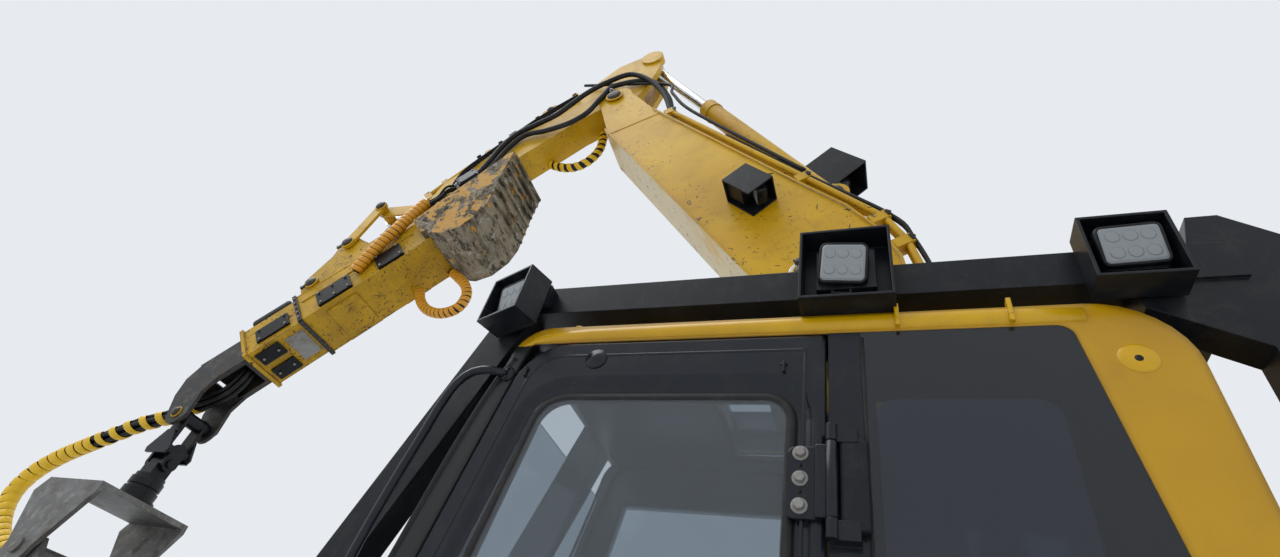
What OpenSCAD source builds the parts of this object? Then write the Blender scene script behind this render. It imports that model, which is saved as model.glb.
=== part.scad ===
// Tracked forestry harvester: an excavator carrier with a roof guard, a telescopic
// extension boom and a hanging harvester head.
// Millimetres. X forward, Y left, Z up. The origin lies on the slewing axis at ground level.

/* [Tracks] */
// Distance between the two track centre lines
track_gauge = 2380; // [2300:10:2600]
// Width of one track shoe
shoe_w = 700; // [600:10:800]
// Distance between the sprocket and idler axles
tumbler_span = 3640; // [3600:10:3700]
// Number of shoes round one track
shoe_count = 49; // [49:1:50]
// Length of one link of the chain
shoe_pitch = 190; // [188:1:192]
// Thickness of a shoe plate
shoe_t = 14; // [10:1:18]
// Height of the ribs on a shoe
grouser_h = 26; // [20:1:30]
// Height of the link rails from the pin line
link_h = 62; // [55:1:70]

/* [Undercarriage] */
// Height of the side frame's lower edge over the ground
frame_clear = 190; // [180:5:220]
// Width of the side frame
frame_w = 340; // [300:10:360]
// Ground clearance under the car body
carbody_clear = 440; // [420:10:480]
// Underside of the slewing upper
deck_z = 1060; // [1050:5:1090]
// Radius of the slewing ring
slew_r = 620; // [560:10:660]

/* [Upper] */
// Overall width of the upper
upper_w = 2710; // [2690:10:2750]
// Depth of the deck beams
deck_h = 190; // [170:5:210]
// Tail radius of the counterweight
tail_r = 2750; // [2700:10:2800]
// Top of the counterweight and the hood's edge
hood_z = 2120; // [2080:10:2160]
// Front face of the counterweight
weight_x = -2020; // [-2060:10:-1980]

/* [Cab] */
// Outer left face of the cab
cab_y = 1370; // [1360:5:1380]
// Inner side face of the cab, beside the boom
cab_y_in = 420; // [410:5:440]
// Rear wall of the cab
cab_x_rear = -255; // [-265:5:-245]
// Front of the roof
cab_x_roof = 1550; // [1540:5:1560]
// Front of the cab's foot
cab_x_foot = 1755; // [1740:5:1765]
// Top of the cab floor
floor_z = 1330; // [1320:5:1350]
// Top of the roof rail
roof_z = 2985; // [2970:5:3000]
// Height of the yellow rail round the roof
rail_h = 65; // [55:5:75]
// Thickness of the cab's walls and doors
wall_t = 45; // [38:1:50]
// Line between the door and the rear side window
door_x = 560; // [550:5:570]
// Gap round the cab door
door_gap = 6; // [5:1:8]
// Thickness of the cab glass
glass_t = 6; // [5:1:8]

/* [Boom] */
// Boom foot pin, forward of the slewing axis
boom_x = 100; // [80:5:120]
// Boom foot pin height
boom_z = 1850; // [1830:5:1880]
// Length from foot pin to tip pin
boom_len = 5500; // [5450:10:5560]
// Angle of the boom in its parked pose
boom_pitch = 63.4; // [62.5:0.1:64]
// Half width of the boom's box
boom_hw = 192; // [185:1:200]
// Plate thickness of boom and stick
plate_t = 14; // [12:1:18]

/* [Stick] */
// Length from pivot pin to end pin
stick_len = 3080; // [3050:10:3120]
// Downward angle of the stick in its parked pose
stick_pitch = 45; // [44:0.5:46]
// Half width of the stick's box
stick_hw = 135; // [130:1:138]

/* [Extension] */
// Half width of the extension's outer box
ext_hw = 195; // [190:1:200]
// Upper face of the outer box, below the end pin
ext_top = -62; // [-66:1:-58]
// Lower face of the outer box
ext_bot = -415; // [-420:1:-405]
// Half width of the sliding section
inner_hw = 150; // [144:1:154]
// How far the sliding section runs out
ext_stroke = 1100; // [1000:10:1200]

/* [Head] */
// Height of the hanging link between its pins
link_len = 330; // [320:5:350]
// Half width of the head's frame
head_hw = 300; // [290:5:310]
// Length of the head's frame
head_len = 1500; // [1460:10:1540]

/* [Hidden] */
$fn = 48;
eps = 0.01;
// Play of a pin in its bore, and of faces that seat on each other
pin_play = 0.3;
seat_gap = 0.3;

yellow = "#e0a416";
black = "#1c1d20";
grey = "#6d6e6e";
steel = "#c9ccd0";
glass_colour = "#30383c66";

// Extrusions along each machine axis: side() takes an (x, z) outline, front() a (y, z) one
module side(y0, y1)
    translate([0, y1, 0]) rotate([90, 0, 0]) linear_extrude(y1 - y0) children();
module both_sides(y0, y1) {
    side(y0, y1) children();
    side(-y1, -y0) children();
}
module front(x0, x1)
    translate([x0, 0, 0]) rotate([90, 0, 90]) linear_extrude(x1 - x0) children();
module plan(z0, z1)
    translate([0, 0, z0]) linear_extrude(z1 - z0) children();
module rod_y(r, y0, y1)
    translate([0, y0, 0]) rotate([-90, 0, 0]) cylinder(r = r, h = y1 - y0);
module rod_x(r, x0, x1)
    translate([x0, 0, 0]) rotate([0, 90, 0]) cylinder(r = r, h = x1 - x0);
module block(low, high)
    translate(low) cube(high - low);
// a bar with round ends; its flanks sit a little inside the rounds
bar_ease = 1;
module bar_2d(p, q, r) {
    direction = atan2(q[1] - p[1], q[0] - p[0]);
    translate(p) rotate(direction) translate([0, bar_ease - r]) square([norm(q - p), 2 * (r - bar_ease)]);
    translate(p) circle(r);
    translate(q) circle(r);
}
module tube_between(p, q, r) {
    d = q - p;
    translate(p) rotate([0, 0, atan2(d[1], d[0])])
        rotate([0, acos(d[2] / norm(d)), 0]) cylinder(r = r, h = norm(d));
}
module mirror_y() {
    children();
    mirror([0, 1, 0]) children();
}

// Points of an arc about c, counted from angle a to angle b
function arc(c, r, a, b, n = 8) =
    [for (i = [0:n]) c + r * [cos(a + (b - a) * i / n), sin(a + (b - a) * i / n)]];

// Tracks

link_total = shoe_count * shoe_pitch;
pitch_r = (link_total - 2 * tumbler_span) / (2 * PI);
shoe_seat = pitch_r + link_h;
track_r = shoe_seat + shoe_t + grouser_h;
axle_z = track_r;
half_span = tumbler_span / 2;
turn_len = PI * pitch_r;

// Place and heading of the pin line at distance s from the rear end of the top run
function on_top(s) = [-half_span + s, pitch_r, 0];
function on_front(s) = let (a = 90 - s / pitch_r * 180 / PI)
    [half_span + pitch_r * cos(a), pitch_r * sin(a), a - 90];
function on_bottom(s) = [half_span - s, -pitch_r, -180];
function on_rear(s) = let (a = -90 - s / pitch_r * 180 / PI)
    [-half_span + pitch_r * cos(a), pitch_r * sin(a), a - 90];
function on_track(s) =
    s < tumbler_span ? on_top(s)
    : s < tumbler_span + turn_len ? on_front(s - tumbler_span)
    : s < 2 * tumbler_span + turn_len ? on_bottom(s - tumbler_span - turn_len)
    : on_rear(s - 2 * tumbler_span - turn_len);

module at_track(s) {
    p = on_track(s);
    translate([p[0], p[1] + axle_z]) rotate(p[2]) children();
}

// One shoe with three ribs, drawn along the pin line with its outer side up
rib_places = [-0.36, 0, 0.36];
module shoe_2d() {
    lap = 14;
    translate([-shoe_pitch / 2 - lap / 2, link_h]) square([shoe_pitch + lap, shoe_t]);
    for (place = rib_places)
        translate([place * shoe_pitch, link_h + shoe_t - eps])
            polygon([[-13, 0], [13, 0], [7, grouser_h], [-7, grouser_h]]);
}
module link_2d() {
    translate([-shoe_pitch * 0.62, -link_h + 14]) square([shoe_pitch * 1.24, 2 * link_h - 14 + eps]);
}
module track(y) {
    color(grey) translate([0, y, 0]) {
        side(-shoe_w / 2, shoe_w / 2)
            for (i = [0:shoe_count - 1]) at_track((i + 0.5) * shoe_pitch) shoe_2d();
        both_sides(48, 92)
            for (i = [0:shoe_count - 1]) at_track((i + 0.5) * shoe_pitch) link_2d();
    }
}
module track_left() track(track_gauge / 2);
module track_right() track(-track_gauge / 2);

// Sprockets, idlers and rollers run between the rails or under them

rail_inner_r = pitch_r - link_h;
sprocket_teeth = 21;
drive_r = 212;
idler_axle_r = 40;
module sprocket_2d() {
    circle(r = pitch_r - 34);
    for (i = [0:sprocket_teeth - 1])
        rotate((i + 0.5) * 360 / sprocket_teeth)
            polygon([[200, -22], [pitch_r - 4, -11], [pitch_r - 4, 11], [200, 22]]);
}
roller_r = 92;
roller_count = 8;
carrier_r = 70;
carrier_places = [-850, 850];
module running_gear_side(y) {
    translate([-half_span, y, axle_z]) {
        side(-40, 40) sprocket_2d();
        rod_y(drive_r - pin_play, -150, 130);
        rod_y(150, 130, 175);
    }
    translate([half_span, y, axle_z]) {
        rod_y(rail_inner_r - 8, -40, 40);
        rod_y(150, -100, 100);
        rod_y(idler_axle_r - pin_play, -165, 165);
    }
    for (i = [0:roller_count - 1])
        translate([-1230 + i * 2460 / (roller_count - 1), y, axle_z - pitch_r + link_h - 14 + 0.3 + roller_r]) {
            rod_y(roller_r, -112, -44);
            rod_y(roller_r, 44, 112);
            rod_y(62, -150, 150);
        }
    for (x = carrier_places)
        translate([x, y, axle_z + pitch_r - link_h + 14 - 0.3 - carrier_r]) {
            rod_y(carrier_r, -112, -44);
            rod_y(carrier_r, 44, 112);
            rod_y(40, -112, 112);
        }
}
module running_gear() color(black) {
    running_gear_side(track_gauge / 2);
    running_gear_side(-track_gauge / 2);
}

// Side frame: a box beam between the rollers and the carrier rollers
roller_z = axle_z - pitch_r + link_h - 14 + 0.3 + roller_r;
beam_low = roller_z + roller_r + 20;
beam_high = axle_z + pitch_r - link_h - 2 * carrier_r - 40;
module track_frame(y) translate([0, y, 0]) {
    side(-frame_w / 2, frame_w / 2) difference() {
        polygon([
            [-half_span + 330, roller_z - 20], [half_span - 430, roller_z - 20], [half_span - 430, beam_low],
            [half_span - 330, axle_z - 60], [half_span - 330, axle_z + 60], [half_span - 520, beam_high],
            [-half_span + 420, beam_high], [-half_span + 330, axle_z + 80]]);
        translate([-half_span + 420, roller_z - 30]) square([tumbler_span - 900, beam_low - roller_z + 30]);
    }
    both_sides(120, frame_w / 2) {
        translate([-half_span + 400, roller_z - 40]) square([tumbler_span - 920, beam_low - roller_z + 50]);
        translate([half_span - 340, axle_z - 55]) square([400, 110]);
        polygon([[-half_span - 40, axle_z - 160], [-half_span + 340, axle_z - 150],
            [-half_span + 340, axle_z + 90], [-half_span + 60, axle_z + 150]]);
    }
    for (x = carrier_places)
        both_sides(115, 150) translate([x - 50, beam_high - eps]) square([100, 110]);
}
module track_frames() color(black) difference() {
    union() {
        track_frame(track_gauge / 2);
        track_frame(-track_gauge / 2);
    }
    mirror_y() translate([-half_span, track_gauge / 2, axle_z]) rod_y(drive_r, -200, 200);
    mirror_y() translate([half_span, track_gauge / 2, axle_z]) rod_y(idler_axle_r, -200, 200);
    mirror_y() for (i = [0:roller_count - 1])
        translate([-1230 + i * 2460 / (roller_count - 1), track_gauge / 2, roller_z]) rod_y(62.5, -160, 160);
}

// Car body: a centre box, four legs and the ring's base
body_top = 860;
leg_x = 620;
module carbody() color(black) {
    reach = track_gauge / 2 - frame_w / 2;
    difference() {
        union() {
            plan(carbody_clear, body_top) square([1300, 1300], center = true);
            for (x = [-leg_x, leg_x])
                front(x - 240, x + 240) polygon([
                    [-reach, beam_low + 20], [-650, carbody_clear + 20], [650, carbody_clear + 20],
                    [reach, beam_low + 20], [reach, beam_high - 10], [620, body_top], [-620, body_top],
                    [-reach, beam_high - 10]]);
            cylinder(r = slew_r + 30, h = deck_z - 60);
        }
        translate([0, 0, -eps]) cylinder(r = slew_r + 200, h = carbody_clear + eps);
        translate([0, 0, carbody_clear + 40]) cylinder(r = 330, h = 700);
    }
}

// Deck: two centre plates, side beams, floor plate and the ring's outer race
deck_top = deck_z + deck_h;
boom_pin_r = 45;
boom_ear_y = 214;
boom_ear_t = 32;
cyl_foot = [boom_x + 420, boom_z - 620];
module deck_outline(rear) polygon([
    [rear, -upper_w / 2 + 15], [1500, -upper_w / 2 + 15], [1500, -640], [620, -640], [620, cab_y_in + 10],
    [cab_x_foot - 40, cab_y_in + 10], [cab_x_foot - 40, cab_y - 40], [rear, cab_y - 40]]);
module centre_plate_2d() {
    polygon([[-2000, deck_z], [760, deck_z], [760, cyl_foot[1] - 40], [cyl_foot[0] + 60, cyl_foot[1] + 90],
        [boom_x + 150, boom_z + 60], [boom_x + 60, boom_z + 160], [boom_x - 80, boom_z + 160],
        [boom_x - 240, boom_z - 20], [-880, deck_top + 260], [-1020, deck_top + 60], [-2000, deck_top + 60]]);
    translate(cyl_foot) circle(110);
    translate([boom_x, boom_z]) circle(170);
}
module deck_frame() color(black) {
    translate([0, 0, deck_z - 60 + seat_gap]) difference() {
        cylinder(r = slew_r + 60, h = 62);
        translate([0, 0, -1]) cylinder(r = 400, h = 70);
    }
    plan(deck_z, deck_z + 24) difference() {
        deck_outline(weight_x - 250);
        circle(400);
    }
    plan(deck_z + 23, deck_top) difference() {
        deck_outline(weight_x + seat_gap);
        translate([weight_x + 100, -upper_w / 2 + 85]) square([3380 - 100, 700]);
        translate([weight_x + 100, 520]) square([3700, cab_y - 40 - 70 - 520]);
        translate([weight_x + 100, -480]) square([2560, 960]);
    }
    both_sides(boom_ear_y, boom_ear_y + boom_ear_t) centre_plate_2d();
    plate_out = boom_ear_y + boom_ear_t;
    translate([boom_x, 0, boom_z]) {
        rod_y(boom_pin_r - pin_play, -plate_out - 20, plate_out + 20);
        both_sides(plate_out - 1, plate_out + 12) circle(95);
    }
    // bosses and pins that carry the feet of the lifting cylinders
    translate([cyl_foot[0], 0, cyl_foot[1]]) {
        both_sides(plate_out - 1, lift_y - lift_foot_w - seat_gap) circle(80);
        both_sides(plate_out - 1, lift_y + lift_foot_w) circle(lift_pin_r - pin_play);
    }
}

// Counterweight: a revolved tail, flat in front
module counterweight() color(yellow) {
    base = deck_z + 24 + seat_gap;
    difference() {
        intersection() {
            rotate_extrude() polygon([
                [1400, base], [tail_r - 130, base], [tail_r - 20, base + 90], [tail_r, base + 300],
                [tail_r, hood_z - 260], [tail_r - 60, hood_z - 80], [tail_r - 200, hood_z], [1400, hood_z]]);
            block([-tail_r - 10, -upper_w / 2, base - 10], [weight_x, upper_w / 2, hood_z + 10]);
        }
        block([weight_x - 160, -430, base - 20], [weight_x + 10, 430, hood_z + 10]);
    }
    // brackets beside the hood's knuckles
    for (s = [-1, 1]) {
        side_low = min(s * hood_bracket[0], s * hood_bracket[1]);
        side_high = max(s * hood_bracket[0], s * hood_bracket[1]);
        translate([hood_axis[0], 0, hood_axis[1]]) rod_y(hood_knuckle_r, side_low, side_high);
        block([hood_axis[0] - hood_knuckle_r, side_low, hood_z - 5],
            [hood_axis[0] + hood_knuckle_r, side_high, hood_axis[1]]);
    }
}

engine_box = [[-1880, -560, deck_top + 90], [-1080, 560, deck_top + 620]];
module engine_block() color(grey) {
    block(engine_box[0], engine_box[1]);
    block([-1780, -330, deck_top + 620 - eps], [-1180, 250, deck_top + 760]);
    for (x = [-1700, -1260], y = [-360, 360])
        translate([x, y, deck_top - 165]) cylinder(r = 45, h = 256);
}

// Engine hood: a shallow lid on the side bodies, hinged at its rear edge
hood_x0 = weight_x + 8;
hood_x1 = -900;
hood_hw = 800;
hood_low = hood_z + 20 + seat_gap;
hood_axis = [hood_x0 - 18, hood_low + 40];
hood_knuckle_r = 12;
hood_knuckle = [520, 600];
hood_bracket = [602, 640];
module engine_hood() color(yellow) {
    difference() {
        front(hood_x0, hood_x1) polygon([
            [-hood_hw - 40, hood_low], [hood_hw + 40, hood_low], [hood_hw + 40, hood_low + 40],
            [hood_hw - 90, hood_low + 120], [-hood_hw + 90, hood_low + 120], [-hood_hw - 40, hood_low + 40]]);
        front(hood_x0 + 20, hood_x1 - 20) polygon([
            [-hood_hw + 20, hood_low - 1], [hood_hw - 20, hood_low - 1], [hood_hw - 20, hood_low + 30],
            [hood_hw - 100, hood_low + 95], [-hood_hw + 100, hood_low + 95], [-hood_hw + 20, hood_low + 30]]);
    }
    both_sides(hood_knuckle[0], hood_knuckle[1]) {
        translate(hood_axis) circle(hood_knuckle_r);
        translate([hood_axis[0], hood_axis[1] - 10]) square([23, 20]);
    }
}

// Cover over the valves ahead of the engine: a top sheet and a front wall beside the centre plates
module valve_cover() color(yellow) {
    block([hood_x1 + 8, -hood_hw - 40, hood_low], [body_x1, hood_hw + 40, hood_low + 25]);
    both_sides(boom_ear_y + boom_ear_t + 8, hood_hw)
        translate([body_x1 - 25, deck_top]) square([25, hood_low - deck_top + 1]);
    block([body_x1 - 25, -boom_ear_y + 8, deck_z + 24], [body_x1, boom_ear_y - 8, hood_low + 1]);
}

// Side bodies: framed compartments with a louvred door in each outer face
body_x0 = weight_x + seat_gap;
body_x1 = -380;
skin_t = 25;
side_y = upper_w / 2;
side_door = [[body_x0 + 70, deck_top + 70], [body_x1 - 70, hood_z - 90]];
module compartment(x1) difference() {
    block([body_x0, hood_hw + 8, deck_top], [x1, side_y, hood_z + 20]);
    block([body_x0 + skin_t, hood_hw + 8 + skin_t, deck_top + skin_t], [x1 - skin_t, side_y - skin_t, hood_z + 20 - skin_t]);
    block([side_door[0][0] - 6, side_y - 60, side_door[0][1] - 6], [side_door[1][0] + 6, side_y + 1, side_door[1][1] + 6]);
}
module louvred_door() {
    x0 = side_door[0][0];
    x1 = side_door[1][0];
    z0 = side_door[0][1];
    z1 = side_door[1][1];
    difference() {
        block([x0, side_y - skin_t, z0], [x1, side_y - 1, z1]);
        for (i = [0:7])
            block([x0 + 120, side_y - skin_t - 1, z0 + 110 + i * 62], [x1 - 420, side_y, z0 + 142 + i * 62]);
    }
    // hinge knuckles, close to the body's face
    for (z = [z0 + 90, z1 - 170]) {
        translate([x0 - 3, side_y + knuckle_r + seat_gap, z]) cylinder(r = knuckle_r, h = 80);
        block([x0 - 3, side_y - 2, z], [x0 + 60, side_y + knuckle_r, z + 80]);
    }
}
knuckle_r = 9;
module left_body() color(yellow) compartment(body_x1);
module left_door() color(yellow) louvred_door();
module right_body() color(yellow) mirror([0, 1, 0]) compartment(body_x1);
module right_door() color(yellow) mirror([0, 1, 0]) louvred_door();

// Tanks and tool box on the right, with the step in front
tank_top = 2060;
module tanks() color(yellow) {
    block([body_x1 + 8, -side_y, deck_top], [420, -620, tank_top]);
    block([428, -side_y, deck_top], [1120, -660, deck_top + 640]);
    block([1128, -side_y, deck_top], [1500, -660, deck_top + 330]);
    for (p = [[-120, -1000], [200, -900]])
        translate([p[0], p[1], tank_top - eps]) cylinder(r = 70, h = 45);
}
module exhaust() color(black) {
    translate([-1450, -1000, hood_z + 20 + seat_gap]) {
        cylinder(r = 75, h = 60);
        cylinder(r = 55, h = 330);
        translate([0, 0, 320]) rotate([0, -35, 0]) cylinder(r = 55, h = 140);
    }
}

// Cab outline in side view, and the slanted line of its front
function front_x(z) = z < floor_z + 550 ? cab_x_foot
    : cab_x_foot - (z - floor_z - 550) * (cab_x_foot - cab_x_roof) / (roof_z - floor_z - 550);
module cab_side_2d(inset = 0) polygon(concat(
    [[cab_x_rear + inset, floor_z - 60 + inset], [cab_x_foot - inset, floor_z - 60 + inset],
     [cab_x_foot - inset, floor_z + 550], [front_x(roof_z - 130) - inset, roof_z - 130]],
    arc([front_x(roof_z - 130) - 130, roof_z - 130], 130 - inset, 0, 90),
    arc([cab_x_rear + 190, roof_z - 190], 190 - inset, 90, 180)));
module cab_hull(inset = 0)
    side(cab_y_in + inset, cab_y - inset) cab_side_2d(inset);

// Openings: name, plane and outline of each window and of the door
door_low = deck_top + 60;
door_high = roof_z - rail_h - 6;
module door_2d(grow = 0) polygon([
    [door_x - grow, door_low - grow], [front_x(0) - 100 + grow, door_low - grow],
    [front_x(0) - 100 + grow, floor_z + 550], [front_x(door_high) - 55 + grow, door_high + grow],
    [door_x - grow, door_high + grow]]);
module door_window_2d(grow = 0) {
    low = 1720 - grow;
    high = 2712 + grow;
    x0 = 650 - grow;
    polygon(concat(
        [[x0, low], [front_x(low) - 190 + grow, low]],
        arc([front_x(high) - 250 + grow, high - 70], 70, 20, 90),
        arc([x0 + 70, high - 70], 70, 90, 180)));
}
// the side window's rear edge leans forward
side_window_low = 1560;
side_window_foot = cab_x_rear + 71;
side_window_head = cab_x_rear + 265;
module side_window_2d(grow = 0)
    polygon(concat(
        [[side_window_foot - grow, side_window_low - grow], [door_x - 12 + grow, side_window_low - grow],
         [door_x - 12 + grow, roof_z - rail_h + grow]],
        arc([side_window_head - grow, roof_z - rail_h - 40 + grow], 40, 90, 165)));

module cab_frame() color(yellow) {
    difference() {
        cab_hull();
        cab_hull(wall_t);
        // door opening and side window in the left wall
        side(cab_y - wall_t - 1, cab_y + 1) door_2d(door_gap);
        side(cab_y - wall_t - 1, cab_y + 1) side_window_2d();
        side(cab_y - wall_t - 1, cab_y + 1) translate([pillar_x, floor_z - 15]) square([100, roof_z - rail_h - floor_z + 15]);
        // window in the right wall, above the boom's pivot
        side(cab_y_in - 1, cab_y_in + wall_t + 1) polygon([
            [cab_x_rear + 150, 1750], [cab_x_foot - 150, 1750], [front_x(2780) - 130, 2780], [cab_x_rear + 150, 2780]]);
        // windscreen
        front(cab_x_roof - 150, cab_x_foot + 20) translate([cab_y_in + 70, floor_z + 120])
            square([cab_y - cab_y_in - 140, 1490]);
        // rear window
        front(cab_x_rear - 1, cab_x_rear + wall_t + 1) translate([cab_y_in + 110, 2050])
            square([cab_y - cab_y_in - 220, 620]);
        // roof hatch
        plan(roof_z - wall_t - 1, roof_z + 1) translate([350, cab_y_in + 160])
            square([620, cab_y - cab_y_in - 320]);
    }
}

module cab_glass() color(glass_colour) {
    side(cab_y_in + 15, cab_y_in + 15 + glass_t) polygon([
        [cab_x_rear + 150.3, 1750.3], [cab_x_foot - 150.3, 1750.3], [front_x(2780) - 130.3, 2779.7], [cab_x_rear + 150.3, 2779.7]]);
    windscreen_low = floor_z + 120.3;
    side(cab_y_in + 70.3, cab_y - 70.3) polygon([
        [front_x(0) - 14, windscreen_low], [front_x(0) - 14 - glass_t, windscreen_low],
        [front_x(0) - 14 - glass_t, floor_z + 550], [front_x(2790) - 14 - glass_t, 2789.7],
        [front_x(2790) - 14, 2789.7], [front_x(0) - 14, floor_z + 550]]);
    front(cab_x_rear + 15, cab_x_rear + 15 + glass_t) translate([cab_y_in + 110.3, 2050.3])
        square([cab_y - cab_y_in - 220.6, 619.4]);
    plan(roof_z - 25, roof_z - 25 + glass_t) translate([350.3, cab_y_in + 160.3])
        square([619.4, cab_y - cab_y_in - 320.6]);
}
module side_window() color(glass_colour) difference() {
    side(cab_y - 8, cab_y - 2) side_window_2d(-0.3);
    block([pillar_x, cab_y - 60, 1000], [pillar_x + 200, cab_y + 1, 3000]);
}
// Black trim band between the door and the side window
module cab_skin() color(black)
    side(cab_y - 30, cab_y - 9) difference() {
        side_window_2d(-0.3);
        translate([40, 1620]) square([400, 1090]);
        translate([pillar_x, 1500]) square([200, 1500]);
    }
// Black pillar between the side window and the door, with the hinge brackets
pillar_x = 470;
module cab_pillar() color(black) {
    block([pillar_x + seat_gap, cab_y - wall_t, floor_z - 15 + seat_gap], [door_x - door_gap, cab_y - 2, roof_z - rail_h - seat_gap]);
    for (z = hinge_z, low = [-44 - seat_gap, hinge_h + seat_gap]) {
        translate([hinge_x, cab_y + hinge_out, z + low]) cylinder(r = 14, h = 44);
        block([hinge_x - 60, cab_y - 4, z + low], [hinge_x, cab_y + hinge_out, z + low + 44]);
    }
}

module cab_floor() color(black)
    block([cab_x_rear + wall_t + 1, cab_y_in + wall_t + 1, floor_z - 60 + wall_t + seat_gap],
        [cab_x_foot - wall_t - 1, cab_y - wall_t - 1, floor_z]);

module seat() color(black) {
    mid = (cab_y + cab_y_in) / 2;
    translate([0, mid, 0]) {
        block([350, -150, floor_z + 0.3], [700, 150, floor_z + 260]);
        side(-260, 260) polygon([[280, floor_z + 260], [820, floor_z + 270], [830, floor_z + 390], [300, floor_z + 400]]);
        side(-250, 250) polygon([[160, floor_z + 400], [320, floor_z + 390], [240, floor_z + 1080], [110, floor_z + 1060]]);
        side(-140, 140) polygon([[112, floor_z + 1030], [238, floor_z + 1030], [190, floor_z + 1280], [110, floor_z + 1270]]);
    }
}
module console() color(black) {
    mid = (cab_y + cab_y_in) / 2;
    for (s = [-1, 1]) translate([0, mid + s * 340, 0]) {
        block([300, -70, floor_z + 0.3], [900, 70, floor_z + 560]);
        translate([800, 0, floor_z + 560 - eps]) cylinder(r = 22, h = 180);
    }
}

module cab_door() color(black) {
    difference() {
        side(cab_y - wall_t + 2, cab_y + 6) door_2d();
        side(cab_y - wall_t - 1, cab_y + 8) door_window_2d();
    }
    // hinge knuckles at the rear edge
    for (z = hinge_z) {
        translate([hinge_x, cab_y + hinge_out, z]) cylinder(r = 14, h = hinge_h);
        block([hinge_x, cab_y + 5, z], [hinge_x + 95, cab_y + hinge_out, z + hinge_h]);
    }
}
hinge_x = 545;
hinge_out = 32;
hinge_z = [1500, 2372];
hinge_h = 190;
module door_glass() color(glass_colour)
    side(cab_y - 14, cab_y - 8) door_window_2d(-0.3);

// Roof guard: box beams round the roof, posts and bars
guard_low = 3062;
guard_high = 3180;
guard_y = 1360;
guard_y_in = 440;
guard_w = 110;
guard_front = 1560;
guard_rear = -430;
guard_crest = 3290;
post_foot_x = 2010;
module roof_guard() color(black) {
    // left and right beams
    for (y = [guard_y - guard_w, guard_y_in])
        block([guard_rear, y, guard_low], [guard_front, y + guard_w, guard_high]);
    // front, middle and rear beams
    for (x = [guard_front - 110, guard_rear])
        block([x, guard_y_in + guard_w - eps, guard_low], [x + 110, guard_y - guard_w + eps, guard_high]);
    // bars over the roof hatch
    for (x = [80:230:1230])
        block([x, guard_y_in + guard_w - eps, guard_low + 30], [x + 60, guard_y - guard_w + eps, guard_low + 60]);
    // front posts, slanting ahead of the windscreen pillars
    for (y = [guard_y - 100, guard_y_in + 10])
        side(y, y + 90) polygon([
            [guard_front - 10, guard_high], [guard_front + 130, guard_high - 60], [post_foot_x + 10, 2000],
            [post_foot_x + 10, deck_top], [post_foot_x - 110, deck_top], [post_foot_x - 110, 1990],
            [guard_front, guard_low]]);
    // feet of the front posts, tied to the deck
    for (y = [guard_y - 100, guard_y_in + 10])
        block([cab_x_foot - 40, y, deck_z + 20], [post_foot_x + 10, y + 90, deck_top + eps]);
    // rear posts with gussets, one on the side body and one on the valve cover
    for (post = [[guard_y - 100, hood_low], [guard_y_in + 10, hood_low + 25 + seat_gap]])
        side(post[0], post[0] + 90) polygon([
            [guard_rear + 90, guard_high - 1], [guard_rear + 60, guard_crest], [guard_rear - 10, guard_crest],
            [guard_rear - 110, guard_high + 20], [guard_rear - 110, guard_high - 60],
            [guard_rear - 80, guard_high - 120], [guard_rear - 80, post[1]], [guard_rear + 30, post[1]],
            [guard_rear + 30, guard_low - 210], [guard_rear + 230, guard_low - 82],
            [guard_rear + 240, guard_low], [guard_rear + 110, guard_low + 1]]);
    // raised beam across the rear
    block([guard_rear - 10, guard_y_in + 99, guard_crest - 45], [guard_rear + 60, guard_y - 99, guard_crest]);
}

// Guard lamps in open boxes
module lamp_box(w, h, d, t = 8) {
    difference() {
        translate([-w / 2, 0, -h / 2]) cube([w, d, h]);
        translate([-w / 2 + t, t, -h / 2 + t]) cube([w - 2 * t, d, h - 2 * t]);
    }
    translate([-w * 0.32, t - eps, -h * 0.28]) cube([w * 0.64, d * 0.5, h * 0.56]);
}
box_places = [[500, 3124, 260, 275], [-190, 3112, 200, 215]];
module guard_lamps() color(black) {
    for (b = box_places)
        translate([b[0], guard_y + 0.3, b[1]]) lamp_box(b[2], b[3], 90);
    // the front box looks a little forward, from an arm on the beam
    translate([1580, guard_y + 28, 3060]) rotate([0, 0, -20.4]) lamp_box(200, 190, 100);
    block([1490, guard_y + seat_gap, 3080], [1545, guard_y + 52, 3150]);
}

module hand_rails() color(black) {
    rail_r = 17;
    path = [[1480, -1290, deck_top + 330.3], [1480, -1290, 2300], [1100, -1290, 2500], [470, -1290, 2500], [470, -1290, deck_top + 640.3]];
    for (i = [0:3]) {
        tube_between(path[i], path[i + 1], rail_r);
        translate(path[i + 1 > 3 ? 3 : i + 1]) sphere(rail_r);
    }
}

// Boom: a box girder whose side view bends at the knee

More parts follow.
